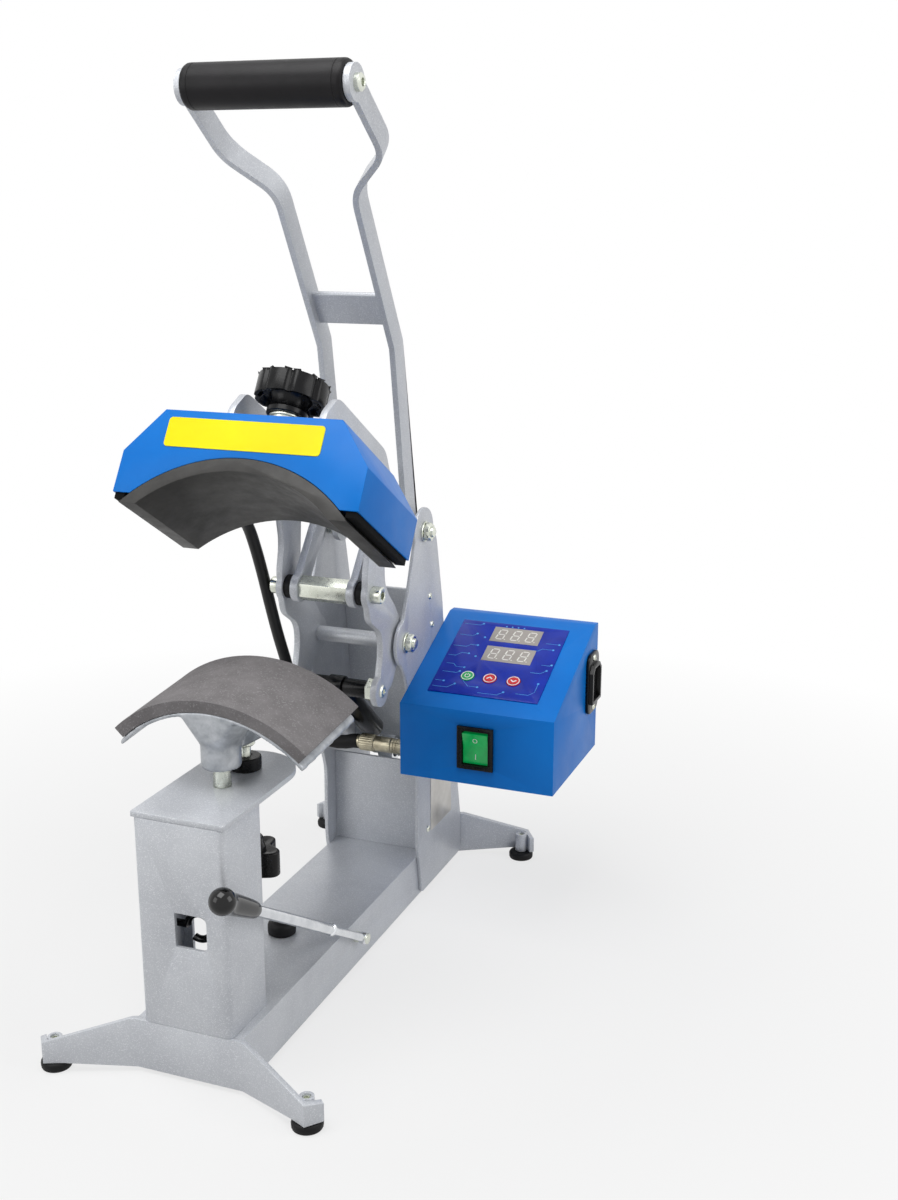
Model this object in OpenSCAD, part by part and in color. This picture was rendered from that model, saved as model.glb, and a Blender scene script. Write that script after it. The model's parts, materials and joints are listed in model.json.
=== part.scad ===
// Cap heat press: a curved heated head swings down onto a curved platen.
// Millimetres, +Z up, +X to the side of the control box, +Y to the back.

/* [Base] */
// Width of the base beam
beam_w = 79; // [72:1:90]
// Height of the base beam
beam_h = 36; // [32:1:44]
// Length of the base over both foot bars
base_l = 396.6; // [385:1:420]
// Sheet thickness of the beam
beam_t = 3; // [2:0.5:4]
// Height of the beam's underside above the floor
floor_gap = 3; // [2:0.5:5]
// Plate thickness of the foot bars
foot_t = 4; // [3:0.5:5]
// Half width from the middle to the end of a foot arm
foot_reach = 97.2; // [90:1:110]
// How far the front arms sweep forward
front_sweep = 25.4; // [15:1:32]
// How far the rear arms sweep backward
rear_sweep = 21.5; // [15:1:32]
// Height of the bent lug at its end
lug_h = 12.6; // [10:0.2:16]
// Length of that lug
lug_l = 14; // [12:0.5:18]
// Height of the lug's lower edge above the beam's underside
lug_rise = 4; // [3:0.2:6]
// Diameter of a rubber foot
foot_d = 21; // [18:1:24]
// Diameter of the studs in the feet
foot_stud_d = 6; // [5:0.5:8]
// Diameter of the round nuts welded into the lugs
foot_boss_d = 10; // [9.5:0.5:14]

/* [Post] */
// Width of the front post
post_w = 66.8; // [60:1:70]
// Depth of the front post
post_d = 51; // [46:1:54]
// Height of the front post above the beam
post_h = 146.5; // [135:1:150]
// Wall of the post
post_t = 3; // [2:0.5:4]
// Outer corner radius of the post
post_r = 5; // [3.5:0.5:8]
// Width of the window in the post's front
window_w = 23; // [16:1:28]
// Height of that window
window_h = 24; // [16:1:30]
// Thickness of the plate on top of the post
deck_t = 4; // [3:0.5:6]
// Distance of the platen's screw from the post's front
screw_y = 90.7; // [84:1:96]
// Diameter of the platen's pin
pin_d = 12; // [10:1:14]
// Distance of the pin from the post's front
pin_y = 58.7; // [56:0.5:62]
// Diameter of the platen's adjusting screw
screw_d = 8; // [6:1:8]
// Diameter of the star knob under the deck
star_d = 46; // [40:1:54]
// Height of that star knob
star_h = 20; // [16:1:24]
// Diameter of the knurled ring nut on the deck
ring_d = 22; // [18:1:24]

/* [Platen] */
// Height of the middle of the platen's crown above the floor
platen_z = 257.5; // [255:0.5:260]
// Distance of that middle from the base's front
platen_y = 80; // [78:0.5:84]
// Tilt of the platen, rear end up
platen_tilt = 5; // [4:0.5:6]
// Radius of the pad's pressing face
platen_r = 103; // [98:1:110]
// Half width of the platen between its tips
platen_half = 71; // [64:1:74]
// Length of the platen from front to back
platen_l = 80; // [74:1:84]
// Thickness of the soft pad
pad_t = 8.5; // [6:0.5:10]
// Thickness of the cast saddle under the pad
saddle_t = 3; // [3:0.5:6]
// Width of the saddle's trunk at its foot
trunk_w = 27; // [24:1:32]

/* [Column] */
// Thickness of the two column plates
column_t = 3; // [2:0.5:4]
// Distance of the arm's pivot from the base's front
pivot_y = 272.9; // [271:0.2:275]
// Height of the arm's pivot
pivot_z = 231.6; // [230:0.2:233]
// Distance of the handle's pivot from the base's front
top_y = 311.5; // [310:0.5:313]
// Height of the handle's pivot
top_z = 312; // [310:0.5:314]
// Diameter of both pivot shafts
shaft_d = 8; // [8:0.5:10]

/* [Arm] */
// Angle that the arm and head swing open
open_deg = 37; // [36:0.5:38]
// Thickness of the arm plates
arm_t = 5; // [4:0.5:6]
// Gap between an arm plate and its column plate
side_gap = 2; // [1:0.5:3]
// Distance of the toggle joint from the base's front, head open
joint_y = 222.5; // [221:0.5:224]
// Height of the toggle joint, head open
joint_z = 282.5; // [281:0.5:284]
// Distance of the gas spring's upper pivot from the front, head open
spring_y = 237; // [235:0.5:239]
// Height of the gas spring's upper pivot, head open
spring_z = 202.5; // [201:0.5:204]
// Distance of the gas spring's lower pivot from the front
anchor_y = 335; // [332:0.5:338]
// Height of the gas spring's lower pivot
anchor_z = 117; // [115:0.5:120]
// Width across the flats of the hexagonal spacer
hex_af = 17; // [15:0.5:18]
// Outer diameter of the tube on the arm's pivot
tube_d = 12; // [12:0.5:14]

/* [Head] */
// Gap that the closed head leaves over the platen for the cap
press_gap = 1.5; // [1:0.25:3]
// Width of the hood at its top
hood_top_w = 131; // [122:1:140]
// Width of the hood at its shoulders
hood_w = 180.4; // [176:1:190]
// Height of the sloped shoulders
shoulder_h = 31.4; // [27:0.5:33]
// Height of the hood
hood_h = 61.3; // [59:0.5:66]
// Depth of the hood from front to back
hood_d = 95.5; // [92:0.5:100]
// Sheet thickness of the hood
hood_t = 1.5; // [1:0.5:2]
// Height from the element's crown to the hood's top
crown_drop = 40.7; // [38:0.2:42]
// Depth of the heating element
element_l = 92; // [86:1:94]
// Thickness of the heating element
element_t = 9; // [8:0.5:10]
// How far the element's ends reach below its crown
element_drop = 27.7; // [26:0.2:29]
// Travel that the pressure knob gives the head
press_travel = 3; // [2:0.5:4]
// Rise of the head for one turn of the knob
press_pitch = 1.5; // [1:0.25:2]
// Radius of the pressure knob
knob_r = 25.3; // [22:0.5:26]
// Height of the pressure knob
knob_h = 16; // [14:0.5:20]
// Diameter of the pressure screw
press_d = 12; // [10:1:14]

/* [Handle] */
// Thickness of the handle bars
bar_t = 4.5; // [3:0.5:5]
// Width of the handle bars
bar_w = 17; // [14:0.5:19]
// Gap between a handle bar and the arm plate beside it
bar_gap = 0.5; // [0.4:0.1:1]
// Radius of the crank on the handle's lower end
crank_r = 50.4; // [48:0.2:52]
// Distance of the handle's bend from the base's front
bend_y = 288; // [285:1:291]
// Height of the handle's bend
bend_z = 459; // [450:1:470]
// Distance of the splay's lower end from the base's front
splay_y = 223; // [218:1:228]
// Height of the splay's lower end
splay_z = 572; // [565:1:579]
// Distance of the grip's axis from the base's front
grip_y = 153.5; // [148:1:158]
// Height of the grip's axis
grip_z = 635.7; // [629:1:643]
// Length of the grip
grip_l = 116; // [104:1:120]
// Diameter of the grip
grip_d = 30; // [26:1:34]
// Height of the brace between the bars
brace_h = 22.6; // [18:0.5:28]

/* [Toggle and gas spring] */
// Thickness of the toggle links
link_t = 6; // [5:0.5:6.5]
// Width of the toggle links
link_w = 16; // [14:1:18]
// Gap between a link and the handle bar beside it
link_gap = 1.5; // [1:0.5:2]
// Diameter of the gas spring's cylinder
gas_d = 18; // [15:0.5:20]
// Length of that cylinder from its eye
gas_l = 86; // [82:1:88]
// Diameter of the gas spring's rod
gas_rod_d = 8; // [6:1:10]

/* [Side lever] */
// Distance of the lever's pivot from the base's front
lever_y = 178; // [170:1:184]
// Height of the lever's pivot
lever_z = 26; // [24:0.5:28]
// Slope of the lever, front end up
lever_deg = 31.9; // [29:0.5:34]
// Length from the pivot to the tip of its knob
lever_l = 248; // [235:1:256]
// Diameter of the lever's rod
lever_d = 8; // [6:0.5:9]
// Clearance between the lever's rod and the beam
lever_gap = 2.5; // [2:0.5:4]

/* [Control box] */
// Width of the control box
box_w = 125.3; // [118:1:135]
// Depth of the control box
box_d = 116.6; // [112:1:122]
// Height of the control box at its back
box_h = 105.7; // [100:1:112]
// Height of the control box at its front
box_front_h = 59.6; // [56:1:64]
// Depth of the flat strip behind the sloped face
box_flat = 9.5; // [7:0.5:14]
// Wall of the control box
box_t = 1.5; // [1:0.5:2]
// Distance of the box's front from the base's front
box_y = 258.9; // [255:1:262]
// Height of the box's underside
box_z = 127.6; // [124:0.5:131]
// Width of the key panel
panel_w = 90; // [84:1:100]
// Length of the key panel along the slope
panel_l = 89; // [85:1:92]
// Diameter of a key
key_d = 11; // [9:0.5:12]
// Travel of a key
key_travel = 0.6; // [0.4:0.1:0.8]
// Width of the rocker switch's frame
rocker_w = 29.3; // [26:0.5:32]
// Height of the rocker switch's frame
rocker_h = 34.5; // [32:0.5:38]
// Diameter of the heater's socket
socket_d = 12.5; // [11:0.5:14]
// Diameter of the heater's cable
cable_d = 9; // [8:0.5:9.5]

/* [Fits] */
// Radial clearance of a running fit
run = 0.05; // [0.02:0.01:0.08]
// Clearance between faces that pass each other
face_gap = 0.3; // [0.3:0.05:0.5]
// Clearance round a loose fixing
loose = 0.4; // [0.3:0.1:0.6]

/* [Hidden] */
$fn = 64;

// Points of the side view are [distance from the front, height]
pivot = [pivot_y, pivot_z];
top = [top_y, top_z];
joint = [joint_y, joint_z];
spring_pt = [spring_y, spring_z];
anchor = [anchor_y, anchor_z];
grip = [grip_y, grip_z];
bend = [bend_y, bend_z];
splay = [splay_y, splay_z];

function turned(p, a) = [p.x * cos(a) - p.y * sin(a), p.x * sin(a) + p.y * cos(a)];
function about(p, c, a) = c + turned(p - c, a);
function along(a, b, k) = a + (b - a) * k;
function heading(a, b) = atan2(b.y - a.y, b.x - a.x);

// The head closes onto the platen, then stands open by open_deg about the pivot
head_pitch = open_deg - platen_tilt;
crown_closed = [platen_y, platen_z] + turned([0, press_gap], platen_tilt);
crown_open = about(crown_closed, pivot, -open_deg);
crown_s = element_l / 2;
head_o = crown_open - turned([crown_s, -crown_drop], -head_pitch);
function head_pt(s, u) = head_o + turned([s, u], -head_pitch);

// Toggle: with the head closed, the joint, the crank and the handle's pivot are in line
joint_closed = about(joint, pivot, open_deg);
link_l = norm(joint_closed - top) - crank_r;
joint_span = norm(top - joint);
crank_turn = acos((pow(crank_r, 2) + pow(joint_span, 2) - pow(link_l, 2)) / (2 * crank_r * joint_span));
crank = top + crank_r * turned((joint - top) / joint_span, -crank_turn);

// Layers from the middle out
beam_half = beam_w / 2;
column_x = beam_half;
column_out = column_x + column_t;
arm_out = column_x - side_gap;
arm_x = arm_out - arm_t;
bar_out = arm_x - bar_gap;
bar_x = bar_out - bar_t;
link_out = bar_x - link_gap;
link_x = link_out - link_t;
beam_top = floor_gap + beam_h;
deck_z = beam_top + post_h;
deck_top = deck_z + deck_t;
deck_half = post_w / 2 + 0.6;
ear_x = grip_l / 2;
ear_out = ear_x + bar_t;
grip_shaft_d = 10;
nut_af = 13;
nut_h = 6.5;
bolt_head_d = 13;
bolt_head_h = 8;
washer_d = 16;
pivot_boss_r = 14;
top_boss_r = 13;
joint_boss_r = 11;
bush_d = 12;
bush_flange_d = 18;
box_x = column_out;
box_right = box_x + box_w;
box_slope_y = box_d - box_flat;
box_slope = atan2(box_h - box_front_h, box_slope_y);
box_slope_l = norm([box_slope_y, box_h - box_front_h]);
inlet_proud = 4;
inlet_flange = [29, 50];
inlet_at = [box_y + box_d - 18.6, box_z + 61];
socket_at = [box_y + 13, box_z + 17.4];
socket_l = 16;
plug_l = 14;
ring_l = 4;
panel_t = 0.8;
panel_s = 17;
panel_x = box_x + 17;
key_s = panel_s + 21.5;
key_x = [panel_x + 26, panel_x + 44.5, panel_x + 64];
display_size = [41, 18];
display_at = [[panel_x + 49.5, panel_s + 75], [panel_x + 50.5, panel_s + 51]];
rocker_at = [box_x + 62.7, box_z + 30.2];
rocker_in = [rocker_w - 8, rocker_h - 7];
rocker_back = 4;
rocker_pin_d = 3;
rocker_deg = 7;
cutout = 0.3;

// The origin is under the middle of the whole object
lug_turn = 50.5;
lug_tip = foot_reach + lug_l * cos(lug_turn);
lever_ball_r = 8.8;
base_front = min(-front_sweep, lever_y - (lever_l - lever_ball_r) * cos(lever_deg) - lever_ball_r);
base_rear = base_l + rear_sweep;
side_left = -lug_tip;
side_right = box_right + inlet_proud;
shift = [-(side_left + side_right) / 2, -(base_front + base_rear) / 2, 0];

// Cable from the head's rear to the plug, points as [x, y, z]
cable_path = [
    [-52, 176, 347], [-52, 187, 342], [-52, 199, 332], [-52, 209, 314], [-52, 219, 291],
    [-52, 229, 265], [-52, 240, 238], [-51, 251, 211], [-49, 259, 185], [-45, 265, 163],
    [-37, 270, 148], [-26, 272, 142], [-14, 272, 142], [-4, 271.9, 144.5]];

module side(x, t) { translate([x, 0, 0]) rotate([90, 0, 90]) linear_extrude(t) children(); }
module both_sides(x, t) { for (x0 = [x, -x - t]) side(x0, t) children(); }
module rod_x(d, x0, x1, p) { translate([x0, p.x, p.y]) rotate([0, 90, 0]) cylinder(d = d, h = x1 - x0); }
module rod_z(d, z0, z1, p = [0, 0]) { translate([p.x, p.y, z0]) cylinder(d = d, h = z1 - z0); }
module nut_x(af, x0, h, p) { translate([x0, p.x, p.y]) rotate([0, 90, 0]) cylinder(d = af / cos(30), h = h, $fn = 6); }
module head() { translate([0, head_o.x, head_o.y]) rotate([-head_pitch, 0, 0]) children(); }
module slope() { translate([0, box_y, box_z + box_front_h]) rotate([box_slope, 0, 0]) children(); }
module platen() { translate([0, platen_y, platen_z]) rotate([platen_tilt, 0, 0]) children(); }
module here() { translate(shift) children(); }

// Flat bar with round ends between two points of the side view
module flat_bar(a, b, w) {
    translate(a) circle(d = w);
    translate(b) circle(d = w);
    translate(a) rotate(heading(a, b)) translate([0, -w / 2]) square([norm(b - a), w]);
}

module round_rect(w, h, r) {
    for (x = [r, w - r], y = [r, h - r]) translate([x, y]) circle(r);
    translate([r, 0]) square([w - 2 * r, h]);
    translate([0, r]) square([w, h - 2 * r]);
}

// Base
module base_beam() here() color("silver") difference() {
    translate([-beam_half, foot_t, floor_gap]) cube([beam_w, base_l - 2 * foot_t, beam_h]);
    translate([-beam_half + beam_t, foot_t - 1, floor_gap - 1])
        cube([beam_w - 2 * beam_t, base_l - 2 * foot_t + 2, beam_h - beam_t + 1]);
    rod_x(lever_shaft_d + 2 * run, -beam_half - 1, beam_half + 1, [lever_y, lever_z]);
}

function foot_at(sweep) = [foot_reach - 3, -sweep + 10.6];

// Plan of a foot bar's right half, its outer face at distance 0 and its arm sweeping to the front
module foot_plan(sweep) {
    slant_t = foot_t / cos(atan2(sweep, foot_reach - beam_half));
    translate([-1, 0]) square([beam_half + 1, foot_t]);
    polygon([[beam_half, 0], [foot_reach, -sweep], [foot_reach, slant_t - sweep], [beam_half, slant_t]]);
    translate([foot_reach, -sweep]) rotate(lug_turn) square([lug_l, foot_t]);
}

// Front view of its height: full at the beam, then straight edges to the lug's end
module foot_height() polygon([[-1, beam_h], [-1, 0], [beam_half, 0], [foot_reach - 12, lug_rise],
    [lug_tip + 1, lug_rise], [lug_tip + 1, lug_rise + lug_h], [lug_tip, lug_rise + lug_h], [beam_half + 4, beam_h]]);

boss_rise = 3;
module foot_bar(sweep) translate([0, 0, floor_gap]) for (m = [0, 1]) mirror([m, 0, 0]) difference() {
    union() {
        intersection() {
            linear_extrude(beam_h) foot_plan(sweep);
            translate([0, foot_reach, 0]) rotate([90, 0, 0]) linear_extrude(2 * foot_reach) foot_height();
        }
        rod_z(foot_boss_d, lug_rise, lug_rise + lug_h + boss_rise, foot_at(sweep));
    }
    rod_z(foot_stud_d + 2 * run, lug_rise - 1, lug_rise + lug_h + boss_rise + 1, foot_at(sweep));
}

module front_foot_bar() here() color("silver") foot_bar(front_sweep);
module rear_foot_bar() here() color("silver") translate([0, base_l, 0]) mirror([0, 1, 0]) foot_bar(rear_sweep);

module rubber_feet() here() color("#222222") {
    for (x = [-1, 1], rear = [0, 1]) {
        at = foot_at(rear ? rear_sweep : front_sweep);
        p = [x * at.x, rear ? base_l - at.y : at.y];
        rod_z(foot_d, 0, floor_gap + lug_rise - loose, p);
        rod_z(foot_stud_d, 1, floor_gap + lug_rise + lug_h + 2, p);
    }
}

// Post
module post_tube() here() color("silver") difference() {
    translate([-post_w / 2, 0, beam_top]) linear_extrude(post_h) difference() {
        round_rect(post_w, post_d, post_r);
        translate([post_t, post_t]) round_rect(post_w - 2 * post_t, post_d - 2 * post_t, post_r - post_t);
    }
    translate([-5, -1, deck_z - 86.5]) rotate([90, 0, 0]) mirror([0, 0, 1]) linear_extrude(post_t + 2) {
        square([window_w / 2, window_h]);
        round_rect(window_w, window_h, 4);
    }
    translate([-22, post_d - post_t - 1, beam_top + 14]) cube([44, post_t + 2, post_h - 34]);
}

module post_deck() here() color("silver") difference() {
    union() {
        translate([-deck_half, 0, deck_z]) cube([2 * deck_half, screw_y, deck_t]);
        rod_z(2 * deck_half, deck_z, deck_top, [0, screw_y]);
    }
    rod_z(pin_d, deck_z - 1, deck_top + 1, [0, pin_y]);
    rod_z(screw_d + 2 * run, deck_z - 1, deck_top + 1, [0, screw_y]);
}

// Bent round bar fixed to the post's inner wall, seen through the window
hook_d = 5;
hook_r = 9;
module post_hook() here() color("#333333") translate([4, 16, deck_z - 78]) {
    rotate([90, 0, 0]) rotate([0, 0, -120]) rotate_extrude(angle = 300) translate([hook_r, 0]) circle(d = hook_d);
    rod_x(hook_d, -4 - post_w / 2 + post_t, -hook_r, [0, 0]);
}

// Stop on the beam behind the post
module rubber_bumper() here() color("#1a1a1a") {
    rod_z(foot_d, beam_top, beam_top + 9, [-4, 142]);
    rod_z(foot_d - 5, beam_top + 9, beam_top + 12, [-4, 142]);
}

// Column plates: straight edges between the round lobes at the two pivots
lobe_r = 19;
module column_outline() {
    toe = pivot_y + 29;
    heel = base_l - foot_t;
    polygon([[toe, floor_gap + 2], [toe, floor_gap + 11], [toe - 7, beam_top + 9], [toe - 6, beam_top + 69],
        pivot + [10, -87], pivot + [2, -33], pivot + [-12, -12], pivot + [-14, 0], pivot + [-5, 16],
        pivot + [5, 37], pivot + [12, 54], top + [-18, -4], top + [-8, 8], top + [12, 10], top + [26, -10],
        top + [32, -36], top + [39, -68], top + [40, -79], [heel, beam_top], [heel, floor_gap + 2]]);
}

module column_plate(x) difference() {
    union() {
        side(x, column_t) column_outline();
        for (p = [pivot, top]) rod_x(2 * lobe_r, x, x + column_t, p);
    }
    for (p = [pivot, top, anchor]) rod_x(shaft_d, x - 1, x + column_t + 1, p);
}

module column_plate_left() here() color("silver") column_plate(-column_out);
module column_plate_right() here() color("silver") column_plate(column_x);

// Lower wall on the beam and the sloped upper panel behind the gas spring
wall_y = pivot_y + 38;
wall_h = 78;
back_low = anchor + [17, 0];
back_high = top + [22, -55];
module column_back_cover() here() color("silver") {
    translate([-beam_half, wall_y, beam_top]) cube([beam_w, column_t, wall_h]);
    side(-beam_half, beam_w) translate(back_low) rotate(heading(back_low, back_high))
        translate([0, -column_t]) square([norm(back_high - back_low), column_t]);
}

// Shafts of the arm, the handle and the gas spring
shaft_end = column_out + nut_h + 2;
module pivot_shafts() here() color("gainsboro") {
    for (p = [pivot, top]) rod_x(shaft_d, -shaft_end, shaft_end, p);
    rod_x(shaft_d, -column_out, column_out, anchor);
    for (s = [0, 1]) mirror([s, 0, 0]) rod_x(bolt_head_d, 9, 14, anchor);
}

module shaft_nuts() here() color("gainsboro") {
    for (p = [pivot, top], s = [0, 1]) mirror([s, 0, 0]) difference() {
        union() {
            nut_x(nut_af, column_out + 1.5, nut_h - 1.5, p);
            rod_x(washer_d, column_out, column_out + 1.5, p);
        }
        rod_x(shaft_d, column_out - 1, column_out + nut_h + 1, p);
    }
    for (s = [0, 1]) mirror([s, 0, 0]) {
        difference() {
            rod_x(washer_d, arm_out + face_gap, column_x, pivot);
            rod_x(shaft_d, arm_out, column_x + 1, pivot);
        }
        difference() {
            rod_x(washer_d, bar_out + face_gap, column_x, top);
            rod_x(shaft_d, bar_out, column_x + 1, top);
        }
    }
}

// Control box
module box_outline(g) {
    polygon([[g, g], [box_d - g, g], [box_d - g, box_h - g], [box_slope_y + g * tan(box_slope / 2), box_h - g],
        [g, box_front_h - g * tan(45 - box_slope / 2)]]);
}

module box_cuts() {
    translate([rocker_at.x - rocker_in.x / 2 - 2, box_y - 1, rocker_at.y - rocker_in.y / 2 - 2])
        cube([rocker_in.x + 4, box_t + 2, rocker_in.y + 4]);
    rod_x(socket_d, box_x - 1, box_x + box_t + 1, socket_at);
    translate([box_right - box_t - 1, inlet_at.x - 13.5, inlet_at.y - 17]) cube([box_t + 2, 27, 34]);
    for (x = key_x) slope() translate([x, key_s, -box_t - 3]) cylinder(d = key_d + 2 * cutout, h = box_t + 6);
}

module box_shell() here() color("#0a5cb0") difference() {
    translate([0, box_y, box_z]) side(box_x, box_w) box_outline(0);
    translate([0, box_y, box_z]) side(box_x + box_t, box_w - 2 * box_t) box_outline(box_t);
    translate([box_x + box_t, box_y + box_d - box_t - 1, box_z + box_t])
        cube([box_w - 2 * box_t, box_t + 2, box_h - 2 * box_t]);
    box_cuts();
}

module box_cover() here() color("#0a5cb0")
    translate([box_x + box_t, box_y + box_d - box_t, box_z + box_t])
        cube([box_w - 2 * box_t, box_t, box_h - 2 * box_t]);

// Board on pillars, with its transformer and relay
module circuit_board() here() color("seagreen") {
    translate([box_x + 22, box_y + 26, box_z + box_t + 6]) cube([76, 70, 1.6]);
    for (x = [28, 92], y = [32, 90]) rod_z(5, box_z + box_t, box_z + box_t + 6, [box_x + x, box_y + y]);
    translate([box_x + 30, box_y + 36, box_z + box_t + 7.6]) cube([32, 27, 24]);
    translate([box_x + 72, box_y + 40, box_z + box_t + 7.6]) cube([18, 30, 20]);
}

module key_panel() here() color("#0f3fb0") slope() difference() {
    translate([panel_x, panel_s, 0]) cube([panel_w, panel_l, panel_t]);
    for (x = key_x) translate([x, key_s, -1]) cylinder(d = key_d + 2 * cutout, h = panel_t + 2);
    for (p = display_at) translate([p.x - display_size.x / 2, p.y - display_size.y / 2, -1])
        cube([display_size.x, display_size.y, panel_t + 2]);
}

module display_windows() here() color("#a09b96") slope()
    for (p = display_at) translate([p.x - display_size.x / 2, p.y - display_size.y / 2, 0])
        cube([display_size.x, display_size.y, panel_t + 0.2]);

module key(i) here() slope() translate([key_x[i], key_s, -box_t - face_gap]) {
    cylinder(d = key_d, h = box_t + face_gap + panel_t + key_travel);
    translate([0, 0, -1]) cylinder(d = key_d + 3, h = 1);
}
module key_start() color("#20c070") key(0);
module key_up() color("#e03020") key(1);
module key_down() color("#e03020") key(2);

// Rocker switch in the front wall
module rocker_frame() here() color("#151515") translate([rocker_at.x, box_y, rocker_at.y]) difference() {
    union() {
        translate([-rocker_w / 2, -2, -rocker_h / 2]) cube([rocker_w, 2, rocker_h]);
        translate([-rocker_in.x / 2 - 2, 0, -rocker_in.y / 2 - 2]) cube([rocker_in.x + 4, 20, rocker_in.y + 4]);
    }
    translate([-rocker_in.x / 2, -3, -rocker_in.y / 2]) cube([rocker_in.x, 18, rocker_in.y]);
    rod_x(rocker_pin_d + 2 * run, -rocker_w, rocker_w, [rocker_back, 0]);
}

// The rocker lies pressed at its upper half; its face has two flats that meet in the middle
module rocker() here() color("#00a050") translate([rocker_at.x, box_y + rocker_back, rocker_at.y]) {
    side(-rocker_in.x / 2 + loose, rocker_in.x - 2 * loose) rotate(rocker_deg) polygon([
        [8, -rocker_in.y / 2 + 3], [8, rocker_in.y / 2 - 3], [-5, rocker_in.y / 2 - 1],
        [-5 + rocker_in.y / 2 * tan(rocker_deg), 0], [-5, -rocker_in.y / 2 + 1]]);
    rod_x(rocker_pin_d, -rocker_in.x / 2 - 1.5, rocker_in.x / 2 + 1.5, [0, 0]);
}

// Mains inlet with three pins, on the right wall
module power_inlet() here() color("#181818") translate([box_right, inlet_at.x, inlet_at.y]) {
    difference() {
        union() {
            translate([0, -inlet_flange.x / 2, -inlet_flange.y / 2]) cube([inlet_proud, inlet_flange.x, inlet_flange.y]);
            translate([-22, -13, -16.5]) cube([23, 26, 33]);
        }
        translate([-18, -10, -13.5]) cube([30, 20, 27]);
    }
    for (z = [-7, 0, 7]) translate([-18, z == 0 ? 3 : -4, z - 1]) cube([14, 4, 2]);
}

// Round metal socket in the left wall, with its plug and boot
module heater_socket() here() color("tan") {
    rod_x(socket_d, box_x - socket_l / 2, box_x + box_t + 8, socket_at);
    nut_x(socket_d + 3, box_x - 2.5, 2.5, socket_at);
}

module heater_plug() here() color("tan") {
    face = box_x - socket_l / 2;
    rod_x(socket_d, face - plug_l, face, socket_at);
    rod_x(socket_d + 1.5, face - plug_l - ring_l, face - plug_l, socket_at);
    rod_x(socket_d - 2, -3.9, face - plug_l - ring_l, socket_at);
}

// Bare plate under the control box
plate_size = [46, 62];
module rating_plate() here() color("#c8c4be") side(column_out, 0.6)
    translate([pivot_y + 49, beam_top + 14]) square(plate_size);

// Platen
module platen_pin() here() color("gainsboro") rod_z(pin_d, deck_z, trunk_z + 14, [0, pin_y]);

module platen_screw() here() color("gainsboro") {
    rod_z(screw_d, star_z, deck_top + ring_h + 8, [0, screw_y]);
    rod_z(14, deck_top + ring_h + 8, deck_top + ring_h + 18, [0, screw_y]);
}

ring_h = 9.5;
star_z = deck_z - 72.5;
trunk_z = deck_top + 14;
module ring_nut() here() color("#1c1c1c") difference() {
    rod_z(ring_d, deck_top, deck_top + ring_h, [0, screw_y]);
    rod_z(screw_d + 2 * run, deck_top - 1, deck_top + ring_h + 1, [0, screw_y]);
}

module star_knob() here() color("#1c1c1c") translate([0, screw_y, 0]) difference() {
    union() {
        rod_z(star_d * 0.72, star_z, star_z + star_h);
        for (a = [0:72:288]) rotate(a) rod_z(star_d * 0.32, star_z, star_z + star_h - 2, [star_d * 0.34, 0]);
        rod_z(20, star_z + star_h, star_z + star_h + 6);
    }
    rod_z(screw_d + 2 * run, star_z - 1, star_z + star_h + 10);
}

// Arc in the head's or platen's own front view, crown at height 0
module arc_band(r, t, half) {
    h = r - sqrt(r * r - half * half);
    intersection() {
        translate([0, -r]) difference() {
            circle(r, $fn = 180);
            circle(r - t, $fn = 180);
        }
        translate([-half, -h - t]) square([2 * half, h + t + 1]);
    }
}

module along_y(y0, l) { translate([0, y0 + l, 0]) rotate([90, 0, 0]) linear_extrude(l) children(); }

module platen_pad() here() color("gray") platen()
    along_y(-platen_l / 2, platen_l) arc_band(platen_r, pad_t, platen_half);

// Cast saddle, with a trunk that stands on the pin
module platen_casting() here() color("#c9ced2") {
    seat_r = platen_r - pad_t;
    difference() {
        union() {
            platen() along_y(-platen_l / 2, platen_l) translate([0, -pad_t])
                arc_band(seat_r, saddle_t, platen_half - 3);
            intersection() {
                union() {
                    translate([0, pin_y, 0]) {
                        rod_z(trunk_w, trunk_z, platen_z);
                        translate([0, 0, trunk_z + 16]) cylinder(d1 = trunk_w, d2 = trunk_w * 2, h = 24);
                    }
                    platen() along_y(-14, 26) polygon([[-12, -42], [12, -42], [48, -20], [48, 0], [-48, 0], [-48, -20]]);
                }
                platen() along_y(-platen_l / 2, platen_l) translate([0, -pad_t - seat_r]) circle(seat_r - 1, $fn = 180);
            }
        }
        rod_z(pin_d + 2 * run, trunk_z - 1, trunk_z + 14, [0, pin_y]);
        rod_z(18, trunk_z - 1, deck_top + ring_h + 18.5, [0, screw_y]);
    }
}

// Side lever
lever_shaft_d = 8;
lever_x = beam_half + lever_gap + lever_d / 2;
sleeve_l = 55;
module at_lever() { translate([lever_x, lever_y, lever_z]) rotate([-lever_deg, 0, 0]) children(); }
module lever_rod() here() color("gainsboro") {
    at_lever() difference() {
        union() {
            translate([0, -lever_l + 16, 0]) rotate([-90, 0, 0]) cylinder(d = lever_d, h = lever_l - 70);
            translate([0, -56, 0]) sphere(d = lever_d + 4);
            translate([0, -54, 0]) rotate([-90, 0, 0]) cylinder(d = lever_d - 3.5, h = 48.5);
            rotate([0, 90, 0]) translate([0, 0, -lever_gap]) cylinder(d = 14, h = lever_gap + lever_d / 2);
        }
        rotate([0, 90, 0]) translate([0, 0, -10]) cylinder(d = lever_shaft_d, h = 20);
    }
}

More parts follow.
